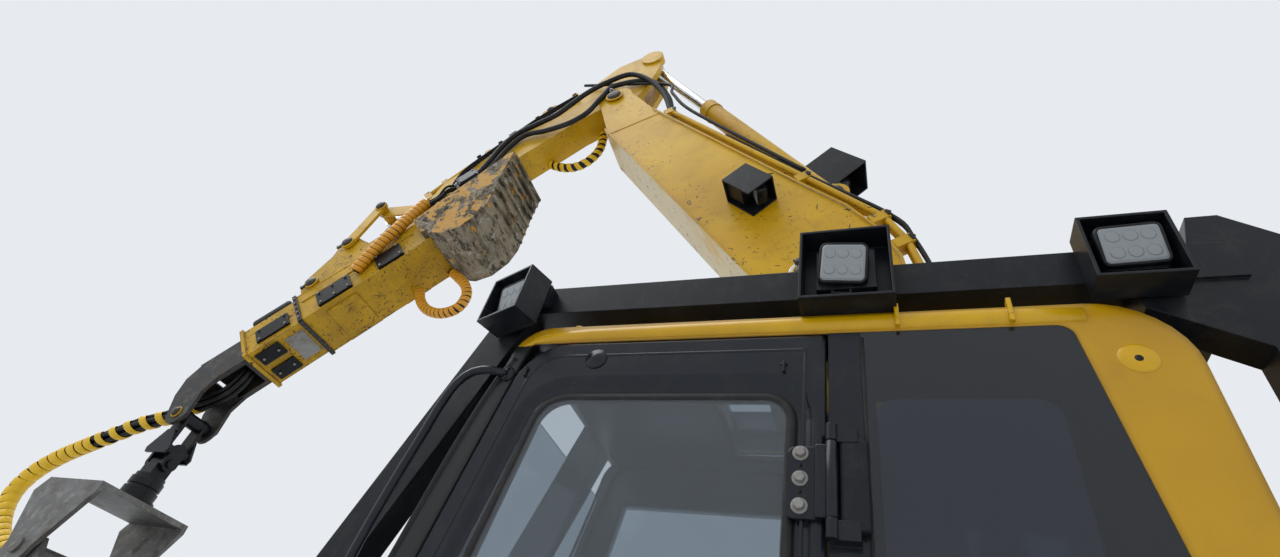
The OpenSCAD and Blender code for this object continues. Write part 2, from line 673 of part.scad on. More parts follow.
boom_under = [[260, -130], [900, -10], [1700, 190], [2300, 280], [2700, 190], [4970, -212], [5150, -222]];
boom_over = [[5230, 180], [3290, 812], [2900, 950], [2600, 1000], [2350, 985], [2100, 900], [900, 380], [260, 150]];
function inset_v(points, d) = [for (p = points) [p[0], p[1] + d]];
module boom_2d(d = 0) polygon(concat(inset_v(boom_under, d), inset_v(boom_over, -d)));
tip_gap = 162;
tip_ear_t = 34;
module at_boom() translate([boom_x, 0, boom_z]) rotate([0, -boom_pitch, 0]) children();
boom_cyl_pin = [2350, 430];
module boom_eye_2d() {
    polygon([[4900, -205], [boom_len + 60, -150], [boom_len + 60, 140], [4900, 275]]);
    translate([boom_len, 0]) circle(165);
}
stick_foot = [3150, 1000];
module boom() color(yellow) at_boom() {
    difference() {
        union() {
            side(-boom_hw, boom_hw) boom_box_2d(12);
            // flanges stand a little proud of the side plates
            side(-boom_hw - 16, boom_hw + 16) difference() {
                boom_box_2d(0);
                boom_box_2d(14);
            }
            // foot tube and its cheeks
            rod_y(165, -boom_ear_y + 6, boom_ear_y - 6);
            side(-boom_hw, boom_hw) polygon([[0, -165], [300, -125], [300, 160], [0, 165]]);
            // tip ears
            both_sides(tip_gap, tip_gap + tip_ear_t) boom_eye_2d();
            // bosses for the lifting cylinders
            translate([boom_cyl_pin[0], 0, boom_cyl_pin[1]])
                rod_y(95, -lift_y + lift_eye_w + seat_gap, lift_y - lift_eye_w - seat_gap);
            // ears for the stick cylinder
            both_sides(stick_ear_y, stick_ear_y + 24) {
                polygon([[stick_foot[0] - 190, 800], [stick_foot[0] + 230, 720],
                    [stick_foot[0] + 70, stick_foot[1] + 30], [stick_foot[0] - 70, stick_foot[1] + 30]]);
                translate(stick_foot) circle(82);
            }
        }
        // hollow box
        side(-boom_hw + plate_t, boom_hw - plate_t) intersection() {
            boom_2d(26);
            translate([320, -400]) square([4560, 1600]);
        }
        rod_y(boom_pin_r, -400, 400);
    }
    translate([boom_len, 0, 0]) rod_y(boom_pin_r - pin_play, -tip_gap - tip_ear_t - 18, tip_gap + tip_ear_t + 18);
    translate([stick_foot[0], 0, stick_foot[1]]) rod_y(44 - pin_play, -stick_ear_y - 25, stick_ear_y + 25);
}
module boom_box_2d(d) intersection() {
    boom_2d(d);
    translate([200, -400]) square([4800, 1600]);
}
stick_ear_y = 92;

// Pipes along the boom's back; a clamp sits on each bend
boom_pipe_path = [[1500, 745], [2050, 985], [2450, 1075], [2700, 1075], [3330, 872], [4860, 373]];
boom_pipe_rows = [-150, 140, 182];
boom_pipe_r = 20;
module pipe_run(path, y, r)
    for (i = [0:len(path) - 2])
        tube_between([path[i][0], y, path[i][1]], [path[i + 1][0], y, path[i + 1][1]], r);
module clamp(p, low, y0, y1, w, reach)
    block([p[0] - w / 2, y0, low], [p[0] + w / 2, y1, p[1] + reach]);
module boom_pipes() color(yellow) at_boom() {
    for (y = boom_pipe_rows) pipe_run(boom_pipe_path, y, boom_pipe_r);
    for (p = boom_pipe_path) {
        clamp(p, pipe_seat(p[0]), 119, 204, 70, 30);
        clamp(p, pipe_seat(p[0]), -173, -127, 70, 30);
    }
}
// Height of the boom's back under a clamp
function pipe_seat(s) = max(boom_top_at(s - 35), boom_top_at(s), boom_top_at(s + 35)) + seat_gap;
function boom_top_at(s) = let (rows = [for (i = [0:len(boom_over) - 2])
        if (boom_over[i][0] >= s && boom_over[i + 1][0] <= s) i], i = rows[0],
        a = boom_over[i + 1], b = boom_over[i])
    a[1] + (b[1] - a[1]) * (s - a[0]) / (b[0] - a[0]);

module lamp_hood(w, h, d) {
    difference() {
        cube([d, w, h]);
        translate([-1, 10, -1]) cube([d - 9, w - 20, h - 9]);
    }
    translate([d * 0.4, w * 0.2, h * 0.1]) cube([d * 0.6 - 5, w * 0.6, h * 0.6]);
}
module boom_lamps() color(black) at_boom() {
    translate([3150, boom_hw + seat_gap, 430]) rotate([0, 20, 0]) lamp_hood(190, 210, 260);
    translate([3475, -360, 1116]) rotate([0, 20, 0]) lamp_hood(260, 340, 330);
    // bracket of the right lamp, with its foot under the boom's flange
    translate([3700, -boom_hw - 60, 480]) cube([60, 42, 620]);
    translate([3700, -boom_hw - 60, 400]) cube([60, 60 - seat_gap, 160]);
}

// Cylinders: a barrel that hangs in its foot pin and a rod that ends in an eye

barrel_wall = 16;
module cylinder_barrel(len, r, foot_w, pin_r, start = 100) {
    difference() {
        union() {
            rod_x(r, start, len);
            rod_x(r + 9, len - 110, len);
            rod_y(80, -foot_w, foot_w);
            block([0, -foot_w, -55], [start + 10, foot_w, 55]);
        }
        rod_x(r - barrel_wall, start + 20, len + 1);
        rod_y(pin_r, -200, 200);
    }
}
module cylinder_rod(dead, len, r, barrel_r, eye_w, eye_r = 82) {
    rod_x(r, dead, len - 40);
    rod_x(barrel_r - barrel_wall - pin_play, dead, dead + 60);
    translate([len, 0, 0]) rod_y(eye_r, -eye_w, eye_w);
}
function boom_point(p) = [boom_x + p[0] * cos(boom_pitch) - p[1] * sin(boom_pitch),
    boom_z + p[0] * sin(boom_pitch) + p[1] * cos(boom_pitch)];
boom_tip = boom_point([boom_len, 0]);
function stick_point(p) = [boom_tip[0] + p[0] * cos(stick_pitch) + p[1] * sin(stick_pitch),
    boom_tip[1] - p[0] * sin(stick_pitch) + p[1] * cos(stick_pitch)];
function heading(p, q) = atan2(q[1] - p[1], q[0] - p[0]);
module along(p, q) translate([p[0], 0, p[1]]) rotate([0, -heading(p, q), 0]) children();

lift_y = 330;
lift_eye_w = 48;
lift_foot_w = 52;
lift_pin_r = 36;
lift_barrel = 1650;
lift_top = boom_point(boom_cyl_pin);
lift_len = norm(lift_top - cyl_foot);
module boom_cylinder_barrels() color(yellow) along(cyl_foot, lift_top)
    for (s = [-1, 1]) translate([0, s * lift_y, 0]) cylinder_barrel(lift_barrel, 75, lift_foot_w, lift_pin_r);
module boom_cylinder_rods() color(steel) along(cyl_foot, lift_top)
    for (s = [-1, 1]) translate([0, s * lift_y, 0]) cylinder_rod(lift_barrel - 100, lift_len, 45, 75, lift_eye_w);

arm_barrel = 1840;
fork_y = 72;
stick_lug = [-690, 400];
arm_low = boom_point(stick_foot);
arm_top = stick_point(stick_lug);
arm_len = norm(arm_top - arm_low);
module stick_cylinder_barrel() color(yellow) along(arm_low, arm_top)
    cylinder_barrel(arm_barrel, 82, stick_ear_y - seat_gap, 44);
module stick_cylinder_rod() color(steel) along(arm_low, arm_top)
    cylinder_rod(arm_barrel - 100, arm_len, 48, 82, fork_y - seat_gap);

// Stick: a box girder with a fork at its back and a boss at its end

stick_end = [2330, 45];
stick_under = [[-330, -30], [-80, -120], [140, 60], [400, 105], [1100, 105], [2230, -40]];
stick_over = [[2400, 120], [2000, 255], [1730, 430], [1000, 500], [500, 530], [0, 550], [-420, 620], [-720, 510]];
stick_box_back = -250;
module stick_2d(d = 0) polygon(concat(inset_v(stick_under, d), inset_v(stick_over, -d), d > 0 ? [] : [[-800, 380], [-620, 170]]));
end_pin_r = 40;
module at_stick() translate([boom_tip[0], 0, boom_tip[1]]) rotate([0, stick_pitch, 0]) children();
module stick() color(yellow) at_stick() {
    difference() {
        union() {
            side(-stick_hw, stick_hw) stick_2d();
            rod_y(160, -tip_gap + 5, tip_gap - 5);
            translate([stick_end[0], 0, stick_end[1]]) rod_y(98, -158, 158);
            both_sides(66, 88) polygon([[180, 500], [680, 490], [490, 750], [350, 750]]);
            translate([stick_lug[0], 0, stick_lug[1]]) rod_y(112, -stick_hw - 20, stick_hw + 20);
        }
        // hollow box
        side(-stick_hw + plate_t, stick_hw - plate_t) intersection() {
            stick_2d(14);
            translate([210, -300]) square([1980, 1200]);
        }
        // fork round the cylinder eye
        block([-1000, -fork_y, -400], [stick_box_back, fork_y, 900]);
        // pin holes
        rod_y(boom_pin_r, -400, 400);
        translate([stick_end[0], 0, stick_end[1]]) rod_y(end_pin_r, -400, 400);
    }
    translate([bell_pivot[0], 0, bell_pivot[1]])
        both_sides(stick_hw - 5, crank_y1 + 8) circle(36 - pin_play);
    translate([bucket_foot[0], 0, bucket_foot[1]]) rod_y(36 - pin_play, -92, 92);
}

stick_pipe_path = [[150, 600], [600, 590], [1200, 535], [1700, 470], [1900, 435]];
module stick_pipes() color(yellow) at_stick()
    for (y = [112, -112]) {
        pipe_run(stick_pipe_path, y, 20);
        for (p = stick_pipe_path)
            clamp(p, max(stick_top_at(p[0] - 30), stick_top_at(p[0]), stick_top_at(p[0] + 30)) + seat_gap,
                y - 23, y + 23, 60, 26);
    }
function stick_top_at(s) = let (rows = [for (i = [0:len(stick_over) - 2])
        if (stick_over[i][0] >= s && stick_over[i + 1][0] <= s) i], i = rows[0],
        a = stick_over[i + 1], b = stick_over[i])
    a[1] + (b[1] - a[1]) * (s - a[0]) / (b[0] - a[0]);

// Linkage between the bucket cylinder and the extension
bucket_foot = [420, 690];
bell_pivot = [1930, 100];
bell_joint = [2300, 520];
link_pin = [2690, 250];
crank_y0 = 141;
crank_y1 = 158;
bar_y0 = 198;
bar_y1 = 222;
bucket_eye_w = 56;
bucket_barrel = 1140;
bucket_len = norm(bell_joint - bucket_foot);
module bucket_cylinder_barrel() color(yellow) at_stick() along(bucket_foot, bell_joint)
    cylinder_barrel(bucket_barrel, 60, 66 - seat_gap, 36);
module bucket_cylinder_rod() color(steel) at_stick() along(bucket_foot, bell_joint)
    cylinder_rod(bucket_barrel - 100, bucket_len, 38, 60, bucket_eye_w, 62);
module bell_crank() color(yellow) at_stick() {
    both_sides(crank_y0, crank_y1) difference() {
        bar_2d(bell_pivot, bell_joint, 60);
        translate(bell_pivot) circle(36);
    }
    translate([bell_joint[0], 0, bell_joint[1]]) {
        both_sides(bucket_eye_w + seat_gap, crank_y0 + 1) circle(48);
        both_sides(crank_y1 - 1, bar_y0 - seat_gap) circle(40);
    }
}
module power_link() color(yellow) at_stick()
    both_sides(bar_y0, bar_y1) bar_2d(bell_joint, link_pin, 55);

// Extension: an outer box under the end pin, its lug plates and front housing

ext_rear = 1930;
ext_front = 3250;
housing_front = 3720;
lug_y0 = 164;
lug_y1 = 192;
inner_clear = 12;
module extension_outer() color(yellow) at_stick() {
    difference() {
        union() {
            side(-ext_hw, ext_hw) translate([ext_rear, ext_bot]) square([ext_front - ext_rear, ext_top - ext_bot]);
            side(-ext_hw + 12, ext_hw - 12) translate([ext_front - 1, ext_bot + 10])
                square([housing_front - ext_front + 1, ext_top - ext_bot - 22]);
            side(-ext_hw - 6, ext_hw + 6) translate([housing_front - 30, ext_bot - 4])
                square([30, ext_top - ext_bot + 8]);
        }
        block([ext_rear + 40, -inner_hw - inner_clear, inner_bot - inner_clear],
            [housing_front + 1, inner_hw + inner_clear, inner_top + inner_clear]);
    }
    both_sides(lug_y0, lug_y1) lug_2d();
    // pin through the stick's end, and the stubs on which the link seats
    translate([stick_end[0], 0, stick_end[1]]) {
        rod_y(end_pin_r - pin_play, -lug_y0 - 1, lug_y0 + 1);
        both_sides(lug_y1 - 1, lug_y1 + 16) circle(62);
    }
    translate([link_pin[0], 0, link_pin[1]]) rod_y(38, -bar_y0 + seat_gap, bar_y0 - seat_gap);
    translate([front_pin[0], 0, front_pin[1]]) {
        rod_y(40, -lug_y0 - 1, lug_y0 + 1);
        both_sides(lug_y1 - 1, lug_y1 + 16) circle(58);
    }
}
front_pin = [3080, 0];
module lug_2d() polygon([[2215, ext_top - 10], [2240, 110], [2290, 145], [2370, 145], [2440, 100], [2540, 95],
    [2570, 180], [2610, 320], [2740, 340], [2860, 230], [3130, 110], [3190, 0], [3190, ext_top - 10]]);
inner_top = ext_top - 34;
inner_bot = ext_bot + 34;

// Heel: a small bucket shell with cross ribs behind the outer box
heel_hw = 280;
heel_path = [[1090, -25], [1270, -200], [1560, -520], [1690, -600], [1860, -620], [1990, -560], [2080, ext_bot - 12]];
// a path moved sideways by d, to the left of its direction
function aside(path, d) = [for (i = [0:len(path) - 1])
    let (v = path[min(i + 1, len(path) - 1)] - path[max(i - 1, 0)]) path[i] + d * [-v[1], v[0]] / norm(v)];
function backward(path) = [for (i = [len(path) - 1:-1:0]) path[i]];
heel_t = 11;
module heel_2d() polygon(concat(aside(heel_path, heel_t), backward(aside(heel_path, -heel_t))));
module heel_bucket() color(grey) at_stick() {
    side(-heel_hw, heel_hw) heel_2d();
    both_sides(heel_hw - 20, heel_hw) polygon(concat([[1920, -110], [1130, -10]], heel_path));
    for (i = [0:6]) {
        p = i < 3 ? heel_path[0] + (heel_path[1] - heel_path[0]) * (i + 0.4) / 3
            : heel_path[1] + (heel_path[2] - heel_path[1]) * (i - 2.7) / 4;
        side(-heel_hw + 15, heel_hw - 15) translate(p) rotate(-48) translate([-14, -34]) square([28, 30]);
    }
    both_sides(ext_hw + 0.3, heel_hw) polygon([[1900, -110], [2130, -140], [2130, -380], [2060, ext_bot + 5], [1900, ext_bot + 5]]);
}

module wear_pads() color(black) at_stick() {
    for (s = [-1, 1]) {
        block_sorted([2790, s * (ext_hw + 0.3), -395], [3080, s * (ext_hw + 22), -215]);
        block_sorted([2330, s * (ext_hw + 0.3), -395], [2560, s * (ext_hw + 22), -215]);
        block_sorted([3330, s * (ext_hw - 11.7), -350], [3600, s * (ext_hw + 6), -190]);
    }
    block([3290, -120, ext_top - 11.7], [3620, 120, ext_top + 45]);
    block([2780, -150, ext_bot - 24], [3080, 150, ext_bot - 0.3]);
    for (y = [-90, 90])
        block([3470, y - 60, ext_bot - 8], [3660, y + 60, ext_bot + 9.7]);
}
module block_sorted(a, b)
    block([min(a[0], b[0]), min(a[1], b[1]), min(a[2], b[2])], [max(a[0], b[0]), max(a[1], b[1]), max(a[2], b[2])]);

// Sliding section, open underneath at its nose for the hoses
inner_rear = 2080;
inner_front = 4290;
hang_pin = [4270, -500];
module extension_inner() color(grey) at_stick() difference() {
    union() {
        // slide block at the rear, running in the outer box
        pad = inner_clear - seat_gap;
        block([inner_rear, -inner_hw - pad, inner_bot - pad], [inner_rear + 150, inner_hw + pad, inner_top + pad]);
        side(-inner_hw, inner_hw) translate([inner_rear, inner_bot]) square([4080 - inner_rear, inner_top - inner_bot]);
        both_sides(inner_hw - 26, inner_hw) difference() {
            union() {
                polygon([[3950, inner_bot], [3950, inner_top], [4040, inner_top], [4200, -160], [4290, -280], [4360, -480], [4300, -590], [4200, -580], [4080, -430]]);
                translate(hang_pin) circle(92);
            }
            translate(hang_pin) circle(34);
        }
        side(-inner_hw, inner_hw) polygon([[4000, inner_top - 14], [4040, inner_top], [4200, -160], [4240, -213], [4230, -222], [4190, -172]]);
    }
    block([inner_rear + 170, -inner_hw + 12, inner_bot + 12], [3990, inner_hw - 12, inner_top - 12]);
    block([3760, -inner_hw + 40, inner_bot - 5], [4100, inner_hw - 40, inner_top - 12]);
    translate([hang_pin[0], 0, hang_pin[1]]) rod_y(34, -300, 300);
}

// Hanging link, crosshead and rotator

hang = stick_point(hang_pin);
cross_z = hang[1] - link_len;
module hang_link() color(black) translate([hang[0], 0, hang[1]]) {
    difference() {
        both_sides(60, 84) bar_2d([0, 0], [0, -link_len + 120], 55);
        rod_y(30, -200, 200);
    }
    rod_y(33.5, -inner_hw - 12, inner_hw + 12);
    rod_y(50, -inner_hw + 32, inner_hw - 32);
    block([-94, -84, -link_len + 62], [94, 84, -link_len + 110]);
    // cover plates that widen to the crosshead's fork
    both_sides(83, 100) polygon([[-40, -110], [40, -110], [120, -link_len + 75], [105, -link_len + 40],
        [-105, -link_len + 40], [-120, -link_len + 75]]);
    for (s = [-1, 1]) front(s > 0 ? 70 : -94, s > 0 ? 94 : -70) difference() {
        bar_2d([0, -link_len + 90], [0, -link_len], 55);
        translate([0, -link_len]) circle(29 + pin_play);
    }
}
module crosshead() color(black) translate([hang[0], 0, cross_z]) {
    rod_x(48, -64, 64);
    rod_x(29, -110, 110);
    block([-62, -62, -105], [62, 62, -20]);
    translate([0, 0, -crosshead_h]) cylinder(r = 95, h = 30);
}
crosshead_h = 130;
rotator_z = cross_z - crosshead_h;
// rings of the rotator from its top: outer radius and height
rotator_rings = [[105, 50], [92, 20], [110, 60], [125, 30]];
rotator_h = ring_depth(len(rotator_rings));
function ring_depth(n) = n == 0 ? 0 : ring_depth(n - 1) + rotator_rings[n - 1][1];
module rotator() color(black) translate([hang[0], 0, rotator_z - seat_gap])
    for (i = [0:len(rotator_rings) - 1])
        translate([0, 0, -ring_depth(i + 1)]) cylinder(r = rotator_rings[i][0], h = rotator_rings[i][1] + eps);

// Tilt yoke: a plate under the rotator and two arms that reach down to the head's pivot
yoke_z = rotator_z - seat_gap - rotator_h;
tilt_pin = [hang[0] + 130, yoke_z - 430];
yoke_rear = hang[0] - 178;
yoke_front = hang[0] + 375;
yoke_eye_r = 120;
yoke_y0 = head_hw + 12;
yoke_y1 = head_hw + 42;
module tilt_yoke() color(grey) {
    block([yoke_rear, -yoke_y1, yoke_z - 35], [yoke_front, yoke_y1, yoke_z]);
    both_sides(yoke_y0, yoke_y1) difference() {
        union() {
            polygon([[yoke_rear, yoke_z], [yoke_front, yoke_z], [yoke_front + 60, yoke_z - 95],
                [tilt_pin[0] + yoke_eye_r - 2, tilt_pin[1]], [tilt_pin[0] - yoke_eye_r + 2, tilt_pin[1]],
                [yoke_rear - 8, yoke_z - 60]]);
            translate(tilt_pin) circle(yoke_eye_r);
        }
        translate(tilt_pin) circle(45);
    }
}

// Head frame: spine box with end plates, seen with its long axis lying along X
head_z = tilt_pin[1] - 330;
head_x0 = hang[0] - head_len / 2 + 20;
head_x1 = head_x0 + head_len;
knife_x = head_x1 - 190;
saw_x = head_x0;
module head_frame() color(grey) {
    difference() {
        union() {
            block([head_x0, -190, head_z + 100], [head_x1, 190, head_z + 290]);
            // block on which the hoses end
            block([head_x1 - 120, -95, head_z + 289], [head_x1, 95, head_z + 440]);
            both_sides(head_hw - 40, head_hw)
                polygon([[tilt_pin[0] - 330, head_z + 130], [tilt_pin[0] + 330, head_z + 130],
                    [tilt_pin[0] + 90, tilt_pin[1] + 80], [tilt_pin[0] - 90, tilt_pin[1] + 80]]);
            block([tilt_pin[0] - 330, -head_hw, head_z + 110], [tilt_pin[0] + 330, head_hw, head_z + 160]);
            translate([tilt_pin[0], 0, tilt_pin[1]]) rod_y(44.5, -yoke_y1 - 15, yoke_y1 + 15);
            // plates that carry the knives' pins
            for (x = [knife_x - 70, knife_x + 60])
                front(x, x + 30) polygon([[-300, head_z + 60], [300, head_z + 60], [300, head_z + 200], [190, head_z + 290], [-190, head_z + 290], [-300, head_z + 200]]);
        }
        for (y = [-knife_pin_y, knife_pin_y]) translate([0, y, head_z + 130]) rod_x(30, knife_x - 200, knife_x + 200);
    }
    // plates that carry the feed arms' pins
    for (x = [arm_x - 206, arm_x + 176]) front(x, x + 30) difference() {
        union() {
            polygon([[-arm_pin[0] - 60, arm_pin[1]], [arm_pin[0] + 60, arm_pin[1]], [190, head_z + 200], [-190, head_z + 200]]);
            for (s = [-1, 1]) translate([s * arm_pin[0], arm_pin[1]]) circle(72);
        }
        for (s = [-1, 1]) translate([s * arm_pin[0], arm_pin[1]]) circle(45);
        translate([-190, head_z - 60]) square([380, 159]);
    }
}
saw_depth = 190;
module saw_box() color(grey) difference() {
    front(saw_x - saw_depth, saw_x - seat_gap) difference() {
        polygon([[-330, head_z - 300], [-300, head_z + 200], [-230, head_z + 290], [230, head_z + 290],
            [300, head_z + 200], [330, head_z - 300]]);
        // arch over the stem
        translate([0, head_z - 190]) circle(250);
        translate([-250, head_z - 600]) square([500, 410]);
    }
    // slot in which the saw bar swings
    front(saw_x - saw_depth + 50, saw_x - 50) translate([-280, head_z - 400]) square([560, 560]);
}

// Delimbing knives: curved arms that close round the stem
knife_pin_y = 245;
module knife_2d() intersection() {
    difference() {
        circle(430);
        circle(360);
    }
    polygon([[0, 0], [600, 160], [600, -600], [-80, -600]]);
}
module knife(s) color(grey) {
    front(knife_x + (s > 0 ? -36 : 14), knife_x + (s > 0 ? 6 : 56)) mirror([s > 0 ? 0 : 1, 0]) difference() {
        union() {
            translate([0, head_z - 170]) knife_2d();
            bar_2d([knife_pin_y, head_z + 130], [375, head_z - 60], 48);
        }
        translate([knife_pin_y, head_z + 130]) circle(30);
    }
    translate([0, s * knife_pin_y, head_z + 130]) rod_x(29.5, knife_x - 90, knife_x + 110);
}
module knife_left() knife(1);
module knife_right() knife(-1);

// Feed arms carry a roller on each side of the stem
arm_x = head_x0 + 430;
arm_pin = [275, head_z + 30];
roller_mid = [430, head_z - 200];
module feed_arm(s) color(grey) {
    for (x = [arm_x - 170, arm_x + 140])
        front(x, x + 30) mirror([s > 0 ? 0 : 1, 0]) difference() {
            bar_2d(arm_pin, roller_mid, 62);
            translate(roller_mid) circle(40);
        }
    translate([0, s * arm_pin[0], arm_pin[1]]) rod_x(45 - pin_play, arm_x - 212, arm_x + 212);
}
module feed_arm_left() feed_arm(1);
module feed_arm_right() feed_arm(-1);
module feed_roller(s) color(black) translate([0, s * roller_mid[0], roller_mid[1]]) {
    front(arm_x - 130, arm_x + 130) {
        circle(165);
        for (i = [0:13]) rotate(i * 360 / 14) translate([160, -12]) square([32, 24]);
    }
    rod_x(39, arm_x - 170, arm_x + 170);
}
module feed_roller_left() feed_roller(1);
module feed_roller_right() feed_roller(-1);

// Hose bundle from the nose of the extension to the head: a free loop in front
hose_end_z = head_z + 345;
tip_route = [
    [5038, 0, 3869], [5040, 0, 3780], [5075, 0, 3690], [5130, 0, 3635], [5210, 0, 3590], [5366, 0, 3523],
    [5525, 10, 3433], [5700, 40, 3355], [5910, 50, 3250], [6130, 50, 3150], [6320, 50, 3050],
    [6460, 50, 2930], [6530, 40, 2800], [6500, 30, 2670], [6400, 20, 2550], [6270, 10, 2450],
    [6130, 0, 2380], [head_x1 + 50, 0, hose_end_z], [head_x1 + seat_gap, 0, hose_end_z]];
tip_hose_r = 70;
function unit(v) = v / norm(v);
function tangent(p, i) = unit(p[min(i + 1, len(p) - 1)] - p[max(i - 1, 0)]);
function ring(p, i, r, n) = let (t = tangent(p, i), a = unit(cross(t, [0, 1, 0])), b = cross(t, a))
    [for (k = [0:n - 1]) p[i] + r * (cos(360 * k / n) * a + sin(360 * k / n) * b)];
module hose(p, r, n = 8) {
    rings = len(p);
    points = [for (i = [0:rings - 1]) each ring(p, i, r, n)];
    sides = [for (i = [0:rings - 2], k = [0:n - 1])
        [i * n + k, i * n + (k + 1) % n, (i + 1) * n + (k + 1) % n, (i + 1) * n + k]];
    caps = [[for (k = [n - 1:-1:0]) k], [for (k = [0:n - 1]) (rings - 1) * n + k]];
    polyhedron(points, concat(sides, caps));
}
module tip_hoses() color("gold") hose(tip_route, tip_hose_r);

carbody();
track_frames();
track_left();
track_right();
running_gear();
deck_frame();
counterweight();
engine_block();
engine_hood();
left_body();
left_door();
right_body();
right_door();
valve_cover();
tanks();
exhaust();
cab_frame();
cab_pillar();
cab_skin();
cab_glass();
side_window();
cab_floor();
seat();
console();
cab_door();
door_glass();
roof_guard();
guard_lamps();
hand_rails();
boom();
boom_pipes();
boom_lamps();
boom_cylinder_barrels();
boom_cylinder_rods();
stick_cylinder_barrel();
stick_cylinder_rod();
stick();
stick_pipes();
bucket_cylinder_barrel();
bucket_cylinder_rod();
bell_crank();
power_link();
extension_outer();
heel_bucket();
wear_pads();
extension_inner();
hang_link();
crosshead();
rotator();
tilt_yoke();
head_frame();
saw_box();
knife_left();
knife_right();
feed_arm_left();
feed_arm_right();
feed_roller_left();
feed_roller_right();
tip_hoses();
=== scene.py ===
"""Dresses the forestry harvester: camera, light, finishes, hoses, bolts, lamps and wear."""
import math

import bmesh
import bpy
from mathutils import Matrix, Vector


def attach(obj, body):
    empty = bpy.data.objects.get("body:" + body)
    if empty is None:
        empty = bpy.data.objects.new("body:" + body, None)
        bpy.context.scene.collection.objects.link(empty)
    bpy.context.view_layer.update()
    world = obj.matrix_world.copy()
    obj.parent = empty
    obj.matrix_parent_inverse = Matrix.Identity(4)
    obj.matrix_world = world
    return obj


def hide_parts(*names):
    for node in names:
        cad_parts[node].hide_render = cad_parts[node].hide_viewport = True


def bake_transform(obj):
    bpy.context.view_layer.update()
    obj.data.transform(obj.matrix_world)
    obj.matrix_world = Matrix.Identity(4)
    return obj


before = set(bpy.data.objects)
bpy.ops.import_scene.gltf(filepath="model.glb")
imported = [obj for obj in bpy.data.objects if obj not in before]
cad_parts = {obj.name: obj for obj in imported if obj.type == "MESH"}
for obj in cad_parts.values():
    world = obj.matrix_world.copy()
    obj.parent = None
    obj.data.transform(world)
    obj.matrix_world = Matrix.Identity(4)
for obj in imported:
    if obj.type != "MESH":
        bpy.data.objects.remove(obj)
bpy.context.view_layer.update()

# Places that the model's own sizes give, in metres
BOOM_FOOT = Vector((0.1, 0, 1.85))
BOOM_PITCH = math.radians(63.4)
BOOM_LEN = 5.5
STICK_PITCH = math.radians(45)
BOOM = Matrix.Translation(BOOM_FOOT) @ Matrix.Rotation(-BOOM_PITCH, 4, "Y")
STICK_PIVOT = BOOM @ Vector((BOOM_LEN, 0, 0))
STICK = Matrix.Translation(STICK_PIVOT) @ Matrix.Rotation(STICK_PITCH, 4, "Y")
HERE = Matrix.Identity(4)
AHEAD, LEFT, UP = (1, 0, 0), (0, 1, 0), (0, 0, 1)


def new_object(name, data):
    shape = bpy.data.objects.new(name, data)
    bpy.context.scene.collection.objects.link(shape)
    return shape


def new_mesh(name, bm):
    """An object that takes a bmesh over."""
    mesh = bpy.data.meshes.new(name)
    bm.to_mesh(mesh)
    bm.free()
    return new_object(name, mesh)


# Camera and cords come first

def make_camera():
    """The photograph's viewpoint: standing beside the cab door and looking up at the boom."""
    data = bpy.data.cameras.new("camera")
    data.sensor_width = 36
    data.lens = 17.466
    cam = new_object("camera", data)
    cam.location = (0.42, 2.79, 1.77)
    cam.rotation_euler = [math.radians(a) for a in (132.466, -11.372, -162.105)]
    bpy.context.scene.camera = cam


make_camera()


# Materials

MAT = {}
BLACK = (0, 0, 0, 1)
WHITE = (1, 1, 1, 1)
DUST = (128, 96, 36)
BOOM_UNDERSIDE = (0.894, 0, -0.447)
# Where the cab's frame is black, in the model's metres: its front, round its door, and inside its walls
CAB_BLACK = [
    [("X", "GREATER_THAN", 1.49), ("Z", "LESS_THAN", 2.91)],
    [("X", "GREATER_THAN", 0.43), ("Y", "GREATER_THAN", 1.25), ("Z", "GREATER_THAN", 1.3),
     ("Z", "LESS_THAN", 2.91)],
    [("X", "GREATER_THAN", -0.2505), ("Y", "GREATER_THAN", 0.4245), ("Y", "LESS_THAN", 1.3655),
     ("Z", "LESS_THAN", 2.9805)],
]


def srgb(r, g, b):
    """Linear colour from 0 to 255 values."""
    def lin(c):
        c /= 255
        return c / 12.92 if c <= 0.04045 else ((c + 0.055) / 1.055) ** 2.4
    return (lin(r), lin(g), lin(b), 1)


def lighter(base, step):
    return srgb(*[min(255, c + step) for c in base])


